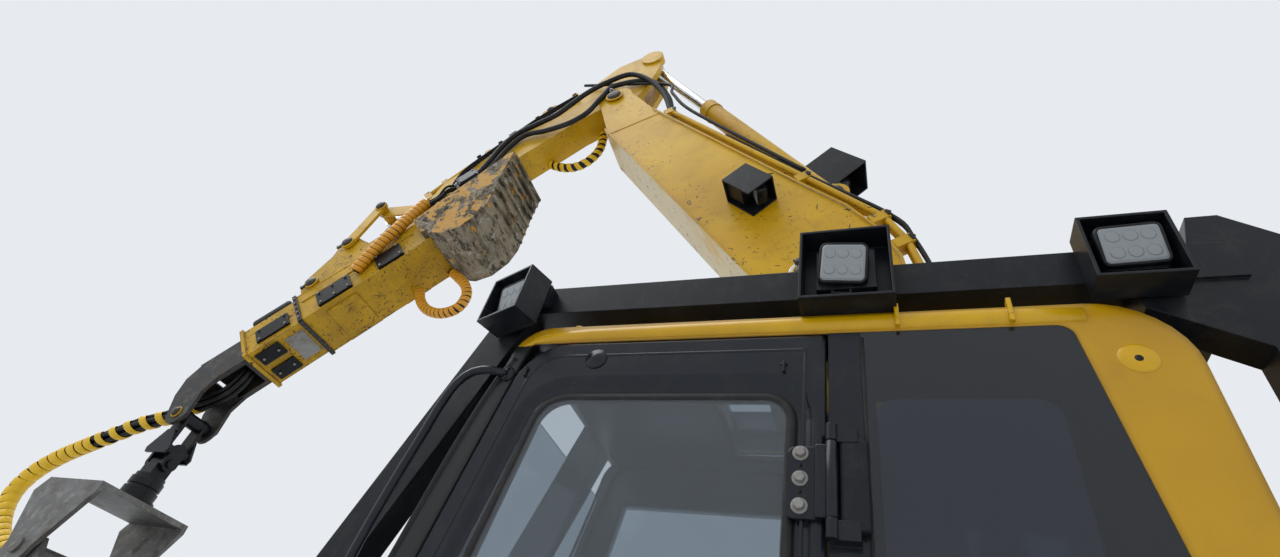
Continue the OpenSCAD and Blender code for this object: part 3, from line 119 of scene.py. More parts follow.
class Nodes:
    """A short way to wire one material."""

    def __init__(self, name):
        self.mat = bpy.data.materials.new(name)
        self.mat.use_nodes = True
        self.tree = self.mat.node_tree
        self.bsdf = self.tree.nodes["Principled BSDF"]
        self.coord = self.new("ShaderNodeTexCoord").outputs["Object"]

    def put(self, value, socket):
        """Links an output to a socket, or gives the socket a constant."""
        if hasattr(value, "links"):
            self.tree.links.new(value, socket)
        else:
            socket.default_value = value

    def new(self, kind, inputs=None, **values):
        """A node with its settings and inputs."""
        node = self.tree.nodes.new(kind)
        for key, value in values.items():
            setattr(node, key, value)
        for key, value in (inputs or {}).items():
            self.put(value, node.inputs[key])
        return node

    def stretched(self, scale, turn=(0, 0, 0)):
        inputs = {"Scale": scale, "Rotation": turn, "Vector": self.coord}
        return self.new("ShaderNodeMapping", inputs).outputs["Vector"]

    def noise(self, scale, detail, rough, vector=None, distortion=0):
        inputs = {"Scale": scale, "Detail": detail, "Roughness": rough, "Distortion": distortion,
                  "Vector": vector or self.coord}
        return self.new("ShaderNodeTexNoise", inputs).outputs["Fac"]

    def ramp(self, fac, stops):
        node = self.new("ShaderNodeValToRGB", {"Fac": fac})
        elements = node.color_ramp.elements
        while len(elements) < len(stops):
            elements.new(0.5)
        for element, (place, colour) in zip(elements, stops):
            element.position = place
            element.color = colour
        return node.outputs["Color"]

    def mask(self, fac, low, high):
        return self.ramp(fac, [(low, BLACK), (high, WHITE)])

    def spots(self, scale, detail, rough, low, high, **more):
        """White where a noise is high."""
        return self.mask(self.noise(scale, detail, rough, **more), low, high)

    def mix(self, fac, a, b):
        return self.new("ShaderNodeMix", {0: fac, 6: a, 7: b}, data_type="RGBA").outputs[2]

    def over(self, colour, mask, top, amount=None):
        """A colour with another one laid over it where the mask is white."""
        return self.mix(mask if amount is None else self.times(mask, amount), colour, srgb(*top))

    def math(self, kind, a, b=0):
        return self.new("ShaderNodeMath", {0: a, 1: b}, operation=kind).outputs[0]

    def times(self, a, b):
        return self.math("MULTIPLY", a, b)

    def plus(self, a, b):
        return self.math("ADD", a, b)

    def normal(self):
        return self.new("ShaderNodeNewGeometry").outputs["Normal"]

    def rounded(self, radius):
        """The normal with edges rounded."""
        return self.new("ShaderNodeBevel", {"Radius": radius}, samples=4).outputs["Normal"]

    def dot(self, a, b):
        return self.new("ShaderNodeVectorMath", {0: a, 1: b}, operation="DOT_PRODUCT").outputs["Value"]

    def edge(self):
        """White along sharp outer edges, broken up by noise."""
        bent = self.math("SUBTRACT", 1, self.dot(self.rounded(0.012), self.normal()))
        return self.mask(self.times(bent, self.plus(self.noise(22, 6, 0.7), 0.35)), 0.1, 0.16)

    def inside(self, regions):
        """White inside any of the regions, which are lists of an axis, a comparison and a value."""
        split = self.new("ShaderNodeSeparateXYZ", {0: self.coord}).outputs
        cover = 0
        for region in regions:
            part = 1
            for axis, kind, value in region:
                part = self.times(part, self.math(kind, split[axis], value))
            cover = self.math("MAXIMUM", cover, part)
        return cover

    def height(self, fac, strength, distance, round_edge=0.004):
        """Relief on a surface whose edges are shaded round."""
        inputs = {"Normal": self.rounded(round_edge), "Strength": strength, "Distance": distance,
                  "Height": fac}
        self.put(self.new("ShaderNodeBump", inputs).outputs["Normal"], self.bsdf.inputs["Normal"])

    def finish(self, colour, rough, metallic=0, coat=0, spec=0.5):
        """Fills in the shader and keeps the material under its name."""
        for name, value in (("Base Color", colour), ("Roughness", rough), ("Metallic", metallic),
                            ("Coat Weight", coat), ("Coat Roughness", 0.15), ("Specular IOR Level", spec)):
            self.put(value, self.bsdf.inputs[name])
        MAT[self.mat.name] = self.mat


def paint(name, base, dark, wear, dirt, rough, coat, primer=(70, 55, 42), round_edge=0.006, cab=False,
          worn_under=False, specks=0):
    """Sprayed paint with fading, chips down to primer, fine scratches and settled dirt."""
    n = Nodes(name)
    colour = n.over(srgb(*base), n.spots(1.7, 3, 0.55, 0.35, 0.7), dark)
    # settled dirt
    blotches = n.spots(6, 8, 0.68, 0.52 - 0.18 * dirt, 0.86 - 0.18 * dirt, distortion=0.4)
    film = n.times(blotches, min(1, 0.25 + dirt))
    colour = n.over(colour, film, DUST)
    # chips, scratches and rubbed edges
    chips = n.spots(38, 9, 0.72, 0.71 - 0.07 * wear, 0.725 - 0.07 * wear)
    scratches = n.spots(9, 6, 0.75, 0.735 - 0.1 * wear, 0.75 - 0.1 * wear,
                        vector=n.stretched((1, 1, 9), (0.5, 0.7, 0.2)))
    marks = n.math("MAXIMUM", chips, scratches)
    if wear > 0.2:
        marks = n.math("MAXIMUM", marks, n.times(n.edge(), min(1, wear)))
    colour = n.over(colour, marks, primer)
    if worn_under:
        # the boom's underside is rubbed to a pale undercoat
        under = n.mask(n.dot(n.normal(), BOOM_UNDERSIDE), 0.75, 0.9)
        colour = n.over(colour, n.times(under, n.spots(1.3, 6, 0.7, 0.36, 0.52)), (206, 192, 158), 0.8)
    if specks:
        low = 0.64 - 0.075 * specks
        dots = n.spots(15, 4, 0.6, low, low + 0.02, distortion=2.5)
        where = n.spots(2.6, 4, 0.6, 0.47 - 0.12 * specks, 0.55)
        colour = n.over(colour, n.times(dots, where), (38, 31, 22), 0.9)
    if cab:
        colour = n.over(colour, n.inside(CAB_BLACK), (15, 16, 18))
    dull = n.plus(n.times(n.noise(70, 3, 0.5), 0.12), rough - 0.06)
    dull = n.plus(n.plus(n.times(film, 0.3), dull), n.times(marks, 0.25))
    n.height(n.math("SUBTRACT", n.times(n.noise(240, 2, 0.5), 0.35), marks), 0.25, 0.0012, round_edge)
    n.finish(colour, dull, coat=coat, spec=0.3)


def mud(name):
    """Clay on worn paint: pale planks of dried mud on the ribbed back, streaked yellow on the cheeks."""
    n = Nodes(name)
    tone = n.noise(5, 9, 0.7, vector=n.stretched((1, 0.3, 1)))
    colour = n.ramp(tone, [(0.3, srgb(42, 36, 30)), (0.42, srgb(80, 70, 56)), (0.52, srgb(140, 130, 112)),
                           (0.6, srgb(94, 82, 62)), (0.72, srgb(48, 40, 32))])
    grain = n.noise(17, 6, 0.7, vector=n.stretched((1, 0.4, 1)))
    colour = n.over(colour, n.mask(grain, 0.54, 0.58), (34, 29, 24), 0.8)
    colour = n.over(colour, n.spots(12, 6, 0.7, 0.58, 0.62), (176, 170, 156), 0.55)
    # the side cheeks keep more of their yellow
    sideways = n.new("ShaderNodeSeparateXYZ", {0: n.normal()}).outputs["Y"]
    cheek = n.mask(n.math("ABSOLUTE", sideways), 0.7, 0.9)
    bare = n.mask(n.plus(n.noise(5.2, 9, 0.74), n.times(cheek, 0.095)), 0.585, 0.61)
    colour = n.over(colour, bare, (186, 134, 16), 0.9)
    n.height(n.plus(n.times(grain, 0.8), tone), 0.8, 0.012)
    n.finish(colour, n.plus(n.times(bare, -0.3), 0.85), spec=0.3)


def black_coat(name, base=(12, 15, 20), dust=0.14, rough=0.36, grain=300, bump=0.25, spec=0.25):
    n = Nodes(name)
    colour = n.mix(n.noise(3, 4, 0.6), srgb(*base), lighter(base, 8))
    film = n.times(n.spots(11, 8, 0.7, 0.5, 0.8, distortion=0.3), dust)
    colour = n.over(colour, film, (104, 100, 94))
    # wet runs down the sides
    runs = n.spots(22, 5, 0.7, 0.6, 0.66, vector=n.stretched((1, 1, 0.12)))
    colour = n.over(colour, runs, (52, 54, 56), 0.35 if dust > 0.1 else 0.08)
    colour = n.over(colour, n.spots(120, 4, 0.7, 0.7, 0.73), (140, 138, 132), 0.5)
    n.height(n.noise(grain, 2, 0.5), bump, 0.0008)
    n.finish(colour, n.plus(n.times(film, 0.5), rough), spec=spec)


def worn_steel(name, base, rust, bright, mud, rough=0.5):
    n = Nodes(name)
    colour = n.over(srgb(*base), n.spots(7, 8, 0.7, 0.35, 0.68, distortion=0.6), rust)
    rub = n.spots(14, 6, 0.7, 0.52, 0.74, vector=n.stretched((1, 5, 1)))
    colour = n.over(colour, rub, (168, 166, 160), bright)
    clod = n.spots(5, 9, 0.75, 0.56 - 0.2 * mud, 0.7 - 0.1 * mud)
    colour = n.over(colour, clod, (96, 84, 66), 0.85)
    n.height(n.plus(n.noise(60, 6, 0.7), n.times(clod, 0.6)), 0.5, 0.003)
    n.finish(colour, n.plus(n.times(clod, 0.35), rough), metallic=0.35)


def chrome(name):
    n = Nodes(name)
    rings = n.noise(60, 2, 0.5)
    smear = n.times(n.spots(9, 5, 0.6, 0.5, 0.8), 0.18)
    n.height(rings, 0.04, 0.0005)
    n.finish(n.mix(rings, srgb(188, 192, 196), srgb(214, 216, 218)), n.plus(smear, 0.1), metallic=1)


def glass(name, tint, through, rough=0.02):
    n = Nodes(name)
    n.finish(srgb(*tint), n.plus(n.times(n.spots(4, 7, 0.7, 0.45, 0.9), 0.05), rough))
    n.put(through, n.bsdf.inputs["Transmission Weight"])
    n.put(1.45, n.bsdf.inputs["IOR"])


def rubber(name, base, dust):
    n = Nodes(name)
    film = n.times(n.spots(16, 7, 0.7, 0.45, 0.8), dust)
    n.height(n.noise(180, 3, 0.6), 0.25, 0.001)
    n.finish(n.over(srgb(*base), film, (120, 112, 98)), n.plus(n.times(film, 0.2), 0.55), spec=0.35)


def plastic(name, base, rough=0.4):
    n = Nodes(name)
    film = n.times(n.spots(14, 7, 0.7, 0.45, 0.8), 0.45)
    n.height(n.noise(90, 4, 0.6), 0.15, 0.001)
    colour = n.over(srgb(*base), film, [int(c * 0.55 + 45) for c in base])
    n.finish(colour, n.plus(n.times(film, 0.25), rough))


def cloth(name, base):
    n = Nodes(name)
    inputs = {"Scale": 160, "Vector": n.coord}
    weave = n.new("ShaderNodeTexWave", inputs, bands_direction="DIAGONAL").outputs["Fac"]
    n.height(weave, 0.4, 0.001)
    n.finish(n.mix(weave, srgb(*base), lighter(base, 18)), 0.85, spec=0.2)


CAB_PRIMER = (150, 104, 20)
paint("yellow", (202, 158, 4), (180, 134, 4), 0.4, 0.25, 0.4, 0.06, specks=0.25)
paint("yellow_boom", (202, 158, 4), (184, 138, 4), 0.4, 0.2, 0.4, 0.06, worn_under=True, specks=0.25)
paint("yellow_cab", (184, 138, 1), (164, 120, 1), 0.05, 0.1, 0.3, 0.25, CAB_PRIMER, 0.03, cab=True)
paint("yellow_rail", (204, 158, 2), (186, 140, 2), 0.05, 0.1, 0.3, 0.25, CAB_PRIMER)
paint("yellow_worn", (196, 152, 6), (164, 124, 6), 0.95, 0.5, 0.46, 0.04, specks=0.7)
mud("clay")
black_coat("black")
black_coat("black_gloss", (15, 19, 26), dust=0.08, rough=0.22, bump=0.12, spec=0.3)
black_coat("black_trim", (3, 5, 9), dust=0.05, grain=500, bump=0.1, spec=0.22)
worn_steel("steel", (40, 41, 44), (54, 48, 43), bright=0.22, mud=0.12)
worn_steel("track", (62, 58, 53), (84, 60, 40), bright=0.5, mud=0.6)
worn_steel("head", (114, 115, 114), (84, 78, 72), bright=0.6, mud=0.08)
chrome("chrome")
worn_steel("bolt", (136, 136, 134), (112, 102, 88), bright=0.6, mud=0, rough=0.32)
glass("tinted", (118, 126, 138), 0.97)
glass("pane", (198, 200, 216), 0.4)
glass("clear", (178, 188, 196), 0.93)
glass("lens", (138, 142, 144), 0.1, rough=0.35)
plastic("cup", (132, 136, 138))
worn_steel("dark_pin", (38, 38, 40), (52, 43, 36), bright=0.35, mud=0.1, rough=0.42)
rubber("rubber", (9, 9, 10), 0.12)
plastic("sleeve", (228, 182, 6))
plastic("orange_sleeve", (216, 148, 22))
plastic("trim", (11, 11, 12), 0.6)
cloth("seat", (20, 20, 23))

NODE_FINISH = {
    "yellow": "counterweight engine_hood left_body left_door right_body right_door valve_cover tanks "
              "boom_pipes boom_cylinder_barrels stick_cylinder_barrel stick stick_pipes "
              "bucket_cylinder_barrel bell_crank power_link",
    "yellow_boom": "boom",
    "yellow_cab": "cab_frame",
    "yellow_worn": "extension_outer",
    "clay": "heel_bucket",
    "black": "carbody deck_frame exhaust roof_guard guard_lamps boom_lamps hand_rails wear_pads hang_link "
             "crosshead rotator",
    "black_gloss": "cab_door cab_pillar",
    "black_trim": "cab_skin",
    "track": "track_frames track_left track_right running_gear",
    "steel": "engine_block extension_inner",
    "head": "tilt_yoke head_frame saw_box knife_left knife_right feed_arm_left feed_arm_right "
            "feed_roller_left feed_roller_right",
    "chrome": "boom_cylinder_rods stick_cylinder_rod bucket_cylinder_rod",
    "tinted": "side_window",
    "clear": "cab_glass door_glass",
    "trim": "cab_floor console",
    "seat": "seat",
    "sleeve": "tip_hoses",
}


def finish_nodes():
    """Gives each solid its detailed finish."""
    for finish, nodes in NODE_FINISH.items():
        for node in nodes.split():
            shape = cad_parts[node]
            shape.data.materials.clear()
            shape.data.materials.append(MAT[finish])


# Small builders of pieces

def from_bmesh(name, bm, finish, body, place=HERE, smooth=False):
    """A piece on one body or, given (body, body, start, end), a piece on no body whose place is baked into
    its mesh.
    """
    bmesh.ops.transform(bm, matrix=place, verts=bm.verts)
    bmesh.ops.recalc_face_normals(bm, faces=bm.faces)
    shape = new_mesh(name, bm)
    shape.data.materials.append(MAT[finish])
    for polygon in shape.data.polygons:
        polygon.use_smooth = smooth
    if isinstance(body, str):
        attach(shape, body)
    else:
        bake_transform(shape)
    return shape


def circle(centre, radius, a, b, sides, turn=0):
    """Points round a centre, in the plane of two unit vectors."""
    return [Vector(centre) + radius * (math.cos(w) * a + math.sin(w) * b)
            for w in [turn + 2 * math.pi * k / sides for k in range(sides)]]


def curve_points(points, step):
    """A smooth curve through the points, sampled about every step metres."""
    points = [Vector(p) for p in points]
    ends = [2 * points[0] - points[1]] + points + [2 * points[-1] - points[-2]]
    out = []
    for i in range(1, len(ends) - 2):
        a, b, c, d = ends[i - 1:i + 3]
        count = max(2, int((c - b).length / step))
        for k in range(count):
            t = k / count
            out.append(0.5 * (2 * b + (c - a) * t + (2 * a - 5 * b + 4 * c - d) * t * t
                              + (3 * b - a - 3 * c + d) * t ** 3))
    out.append(points[-1])
    return out


def frames_along(points):
    """Side and up vectors carried along a path without twist."""
    tangents = []
    for i in range(len(points)):
        tangents.append((points[min(i + 1, len(points) - 1)] - points[max(i - 1, 0)]).normalized())
    side = tangents[0].orthogonal().normalized()
    out = []
    for tangent in tangents:
        side = (side - tangent * side.dot(tangent)).normalized()
        out.append((side, tangent.cross(side)))
    return out


def lengths_along(points):
    """How far each point lies along its path."""
    lengths = [0]
    for a, b in zip(points, points[1:]):
        lengths.append(lengths[-1] + (b - a).length)
    return lengths


def add_tube(bm, points, radius, sides):
    loops = [circle(point, radius, a, b, sides) for point, (a, b) in zip(points, frames_along(points))]
    add_loft(bm, loops, True, True)


def tubes(name, paths, radius, finish, body, sides):
    bm = bmesh.new()
    for path in paths:
        add_tube(bm, path, radius, sides)
    return from_bmesh(name, bm, finish, body, smooth=True)


def hose(name, points, radius, finish, body, sides=12, step=None, place=HERE):
    path = curve_points([place @ Vector(p) for p in points], step or radius * 1.6)
    return tubes(name, [path], radius, finish, body, sides)


BAND_THICK = 0.004
BAND_STEPS = 14


def guard(name, points, radius, pitch, cover, finish, body):
    """A flat band wound round a path, which covers part of each turn."""
    lengths = lengths_along(points)
    total = lengths[-1]
    around = frames_along(points)
    count = int(total / pitch * BAND_STEPS)
    half = pitch * cover / 2
    bm = bmesh.new()
    rows = []
    j = 0
    for i in range(count + 1):
        s = total * i / count
        while j < len(lengths) - 2 and lengths[j + 1] < s:
            j += 1
        t = (s - lengths[j]) / max(1e-9, lengths[j + 1] - lengths[j])
        a, b = [around[j][k].lerp(around[j + 1][k], t).normalized() for k in range(2)]
        along = (points[j + 1] - points[j]).normalized()
        angle = 2 * math.pi * s / pitch
        out = math.cos(angle) * a + math.sin(angle) * b
        low = points[j].lerp(points[j + 1], t) + out * radius
        rows.append([bm.verts.new(low + along * half * u + out * lift)
                     for u, lift in ((-1, 0), (-0.8, BAND_THICK), (0.8, BAND_THICK), (1, 0))])
    for p, q in zip(rows, rows[1:]):
        for k in range(3):
            bm.faces.new((p[k], p[k + 1], q[k + 1], q[k]))
    return from_bmesh(name, bm, finish, body, smooth=True)


def wrapped_bundle(name, points, radius, pitch, finish, body, cover):
    """A hose bundle on the stick with a spiral guard wound round it."""
    path = curve_points([STICK @ Vector(p) for p in points], 0.03)
    tubes(name + "_core", [path], radius * 0.93, "rubber", body, 14)
    guard(name + "_guard", path, radius * 0.95, pitch, cover, finish, body)


def neighbours(corners):
    """Each corner with the one before and the one after it."""
    points = [Vector(c) for c in corners]
    return list(zip(points, points[-1:] + points[:-1], points[1:] + points[:1]))


def rounded_outline(corners, radii, per=6):
    """A polygon with rounded corners, as 2D points; each corner takes one point more than per."""
    out = []
    for i, (p, a, b) in enumerate(neighbours(corners)):
        radius = radii[i] if isinstance(radii, (list, tuple)) else radii
        u, v = (a - p).normalized(), (b - p).normalized()
        half = math.acos(max(-1, min(1, u.dot(v)))) / 2
        if half > math.radians(88):
            out += [p + (u if k < per / 2 else v) * 0.004 * abs(k - per / 2) for k in range(per + 1)]
            continue
        reach = radius / math.tan(half)
        centre = p + (u + v).normalized() * radius / math.sin(half)
        s, e = p + u * reach - centre, p + v * reach - centre
        a0 = math.atan2(s.y, s.x)
        turn = (math.atan2(e.y, e.x) - a0 + math.pi) % (2 * math.pi) - math.pi
        out += [centre + radius * Vector((math.cos(a0 + turn * k / per), math.sin(a0 + turn * k / per)))
                for k in range(per + 1)]
    return out


def moved_out(corners, d):
    """The corners of a polygon whose sides all move outwards by d."""
    rows = neighbours(corners)
    sign = 1 if sum(a.x * p.y - p.x * a.y for p, a, b in rows) > 0 else -1
    out = []
    for p, a, b in rows:
        u, v = (p - a).normalized(), (b - p).normalized()
        n1, n2 = sign * Vector((u.y, -u.x)), sign * Vector((v.y, -v.x))
        middle = (n1 + n2).normalized()
        out.append(tuple(p + middle * d / max(0.2, middle.dot(n1))))
    return out


def outlines(corners, radii, steps, base=0, grown=False):
    """Rounded outlines square to Y, for (growth, Y) pairs; grown radii keep a border even."""
    return [[Vector((x, base + y, z)) for x, z in
             rounded_outline(moved_out(corners, d), [max(0.01, r + d) for r in radii] if grown else radii)]
            for d, y in steps]


def add_loft(bm, loops, cap_first=False, cap_last=False):
    rows = [[bm.verts.new(Vector(p)) for p in loop] for loop in loops]
    count = len(rows[0])
    for low, high in zip(rows, rows[1:]):
        for k in range(count):
            bm.faces.new((low[k], low[(k + 1) % count], high[(k + 1) % count], high[k]))
    if cap_first:
        bm.faces.new(rows[0][::-1])
    if cap_last:
        bm.faces.new(rows[-1])


def lofted(name, loops, finish, body, place=HERE, smooth=False, **caps):
    bm = bmesh.new()
    add_loft(bm, loops, **caps)
    return from_bmesh(name, bm, finish, body, place, smooth)


def solid(name, loops, finish, body, place=HERE, smooth=False):
    return lofted(name, loops, finish, body, place, smooth, cap_first=True, cap_last=True)


def profile_loops(centre, axis, profile, sides, turn=0):
    axis = Vector(axis).normalized()
    a = axis.orthogonal().normalized()
    return [circle(Vector(centre) + axis * h, r, a, axis.cross(a), sides, turn) for r, h in profile]


def turned(name, centre, axis, profile, finish, body, sides=24, place=HERE, smooth=True):
    """A turned shape: the profile gives (radius, height along the axis) pairs."""
    return solid(name, profile_loops(centre, axis, profile, sides), finish, body, place, smooth)


def add_prism(bm, centre, axis, radius, height, sides, turn=0):
    """A bolt's head or washer with its upper edge cut back."""
    profile = ((radius, 0), (radius, height * 0.85), (radius * 0.86, height))
    add_loft(bm, profile_loops(centre, axis, profile, sides, turn), True, True)


def bolts(name, places, axis, radius, body, place=HERE, finish="bolt", washer=True):
    """Hexagon heads on washers, all facing one way."""
    bm = bmesh.new()
    for i, point in enumerate(places):
        if washer:
            add_prism(bm, point, axis, radius * 1.45, radius * 0.3, 16)
        add_prism(bm, Vector(point) + Vector(axis) * radius * 0.25, axis, radius, radius * 0.9, 6, i * 0.7)
    return from_bmesh(name, bm, finish, body, place)


def add_box(bm, low, high, bevel=0):
    made = bmesh.ops.create_cube(bm, size=1)
    size = Vector(high) - Vector(low)
    middle = (Vector(high) + Vector(low)) / 2
    shape = Matrix.Translation(middle) @ Matrix.Diagonal((*size, 1))
    bmesh.ops.transform(bm, matrix=shape, verts=made["verts"])
    if bevel:
        edges = list({e for v in made["verts"] for e in v.link_edges})
        bmesh.ops.bevel(bm, geom=edges, offset=bevel, segments=2, affect="EDGES", profile=0.5)


def boxes(name, pairs, finish, body, bevel=0.004, place=HERE):
    bm = bmesh.new()
    for low, high in pairs:
        add_box(bm, low, high, bevel)
    return from_bmesh(name, bm, finish, body, place)


# Hoses

STICK_BUNDLE = [(1.96, 0.222, 0.118), (2.05, 0.226, 0.075), (2.15, 0.236, 0.02), (2.3, 0.252, -0.075),
                (2.47, 0.252, -0.15), (2.64, 0.24, -0.225), (2.72, 0.232, -0.262)]
EXTENSION_LOOP = [(s, -0.17, n) for s, n in (
    (2.42, -0.405), (2.45, -0.54), (2.435, -0.7), (2.355, -0.84), (2.23, -0.9), (2.125, -0.83), (2.085, -0.7),
    (2.095, -0.55), (2.11, -0.43))]
ELBOW_LOOP = [(0.8, -0.11, 0.11), (0.765, -0.115, 0), (0.7, -0.12, -0.105), (0.61, -0.12, -0.165),
              (0.49, -0.12, -0.165), (0.37, -0.12, -0.105), (0.27, -0.115, 0), (0.2, -0.1, 0.08)]
# each hose's points on the boom, then those on the stick
ELBOW_HOSES = [
    ([(4.9, 0.15, 0.372), (5.25, 0.165, 0.41), (5.58, 0.19, 0.36)],
     [(-0.318, 0.205, 0.226), (-0.08, 0.232, 0.28), (0.143, 0.24, 0.287), (0.33, 0.236, 0.265),
      (0.509, 0.222, 0.266), (0.7, 0.206, 0.34), (0.9, 0.192, 0.414), (1.1, 0.19, 0.35),
      (1.27, 0.196, 0.23), (1.445, 0.2, 0.115)]),
    ([(4.9, 0.112, 0.372), (5.25, 0.12, 0.44), (5.62, 0.15, 0.38)],
     [(-0.12, 0.205, 0.18), (0.09, 0.222, 0.09), (0.292, 0.216, 0), (0.42, 0.212, 0), (0.528, 0.208, 0.031),
      (0.7, 0.192, 0.17), (0.85, 0.178, 0.33), (1.05, 0.168, 0.31), (1.25, 0.176, 0.18),
      (1.445, 0.176, 0.075)]),
]
ELBOW_LEAD = [(3.4, 0.185, 0.905), (4.2, 0.19, 0.665), (4.8, 0.19, 0.5), (5.15, 0.19, 0.47),
              (5.42, 0.17, 0.46)]
# along and above, on the boom
BOOM_ROUTE = [(1.45, 0.745), (2.05, 0.985), (2.45, 1.075), (2.7, 1.075), (3.33, 0.872), (4.2, 0.589)]
TIP_ROUTE = [
    (5.038, 0, 3.869), (5.04, 0, 3.78), (5.075, 0, 3.69), (5.13, 0, 3.635), (5.21, 0, 3.59),
    (5.366, 0, 3.523), (5.525, 0.01, 3.433), (5.7, 0.04, 3.355), (5.91, 0.05, 3.25), (6.13, 0.05, 3.15),
    (6.32, 0.05, 3.05), (6.46, 0.05, 2.93), (6.53, 0.04, 2.8), (6.5, 0.03, 2.67), (6.4, 0.02, 2.55),
    (6.27, 0.01, 2.45), (6.13, 0, 2.38), (6.0485, 0, 2.3597), (5.9988, 0, 2.3597)]
# lengths along the hoses at which their guard starts and winds tight
GUARD_FROM = 0.4
GUARD_TIGHT = 1.28


def at(place, *point):
    return tuple(place @ Vector(point))


def beside(path, radius, angle, twist):
    """A path that winds round another one at a given radius."""
    out = []
    for i, (point, (a, b)) in enumerate(zip(path, frames_along(path))):
        w = angle + twist * i / len(path)
        out.append(point + radius * (math.cos(w) * a + math.sin(w) * b))
    return out


def part_of(path, start, end):
    """The points of a path between two lengths along it, without its last one."""
    return [p for p, s in zip(path[:-1], lengths_along(path)) if start <= s <= end]


def tip_hoses():
    """Hoses from the nose to the head in an open spiral guard, which winds tight further down."""
    path = curve_points(TIP_ROUTE, 0.03)
    total = lengths_along(path)[-1]
    over_hanger = ("slider", "hanger", TIP_ROUTE[3], TIP_ROUTE[7])
    middle = tubes("tip_hose_middle", [path], 0.02, "rubber", over_hanger, 12)
    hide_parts("tip_hoses")
    around = [beside(path, 0.037, 2 * math.pi * k / 5, 2.2) for k in range(5)]
    others = tubes("tip_hose_others", around, 0.0165, "rubber", over_hanger, 10)
    loose = guard("tip_guard_open", part_of(path, GUARD_FROM, GUARD_TIGHT), 0.0565, 0.118, 0.46,
                  "sleeve", over_hanger)
    tight = guard("tip_guard_tight", part_of(path, GUARD_TIGHT - 0.03, total - 0.1), 0.0565, 0.072, 0.86,
                  "sleeve", over_hanger)
    coupling = [(0.062, 0.001), (0.066, 0.006), (0.066, 0.03), (0.06, 0.034), (0.058, 0.06), (0.054, 0.064)]
    turned("tip_coupling", TIP_ROUTE[-1], AHEAD, coupling, "bolt", "head")


def arm_hoses():
    over_end_pin = ("dipper", "extension", at(STICK, 2.1, 0.2, 0.1), at(STICK, 2.55, 0.25, -0.18))
    wrapped_bundle("stick_bundle", STICK_BUNDLE, 0.047, 0.046, "orange_sleeve", over_end_pin, 0.9)
    wrapped_bundle("extension_loop", EXTENSION_LOOP, 0.04, 0.042, "orange_sleeve", "extension", 0.9)
    under_elbow = ("main_boom", "dipper", at(STICK, 0.22, -0.1, 0.06), at(STICK, 0.76, -0.1, 0))
    wrapped_bundle("elbow_loop", ELBOW_LOOP[::-1], 0.04, 0.075, "sleeve", under_elbow, 0.62)
    # two thick hoses from the boom's pipes round the elbow to the valve box on the stick's side
    round_elbow = ("main_boom", "dipper", at(BOOM, 5.5, 0.15, 0.38), at(STICK, 0.55, 0.22, 0.2))
    for i, (on_boom, on_stick) in enumerate(ELBOW_HOSES):
        points = [at(BOOM, *q) for q in on_boom] + [at(STICK, *q) for q in on_stick]
        hose(f"elbow_hose_{i}", points, 0.024, "rubber", round_elbow, 14, 0.03)
    lead = [at(BOOM, *q) for q in ELBOW_LEAD] + [at(STICK, 0.02, 0.17, 0.6)]
    hose("elbow_lead", lead, 0.014, "rubber", round_elbow, 12, 0.04)
    # black hoses laid over the boom's pipes
    for i, (y, lift) in enumerate(((0.15, 0.046), (0.176, 0.04))):
        points = [(s, y + 0.006 * math.sin(5 * s + i), n + lift) for s, n in BOOM_ROUTE]
        hose(f"boom_hose_{i}", points, 0.012, "rubber", "main_boom", 10, 0.04, BOOM)


def fittings():
    """Swivel nuts and sleeves where hoses meet pipes."""
    nut = [(0.026, -0.03), (0.032, -0.026), (0.032, 0.01), (0.027, 0.012), (0.027, 0.05)]
    for i, (place, point, slope, body) in enumerate((
            (BOOM, (4.84, 0.15, 0.378), -0.33, "main_boom"), (BOOM, (4.84, 0.112, 0.378), -0.33, "main_boom"),
            (STICK, (0.9, 0.15, 0.53), 0.1, "dipper"), (STICK, (0.9, 0.112, 0.54), 0.1, "dipper"))):
        turned(f"nut_{i}", point, (1, 0, slope), nut, "bolt", body, 6, place, smooth=False)


# Lamps

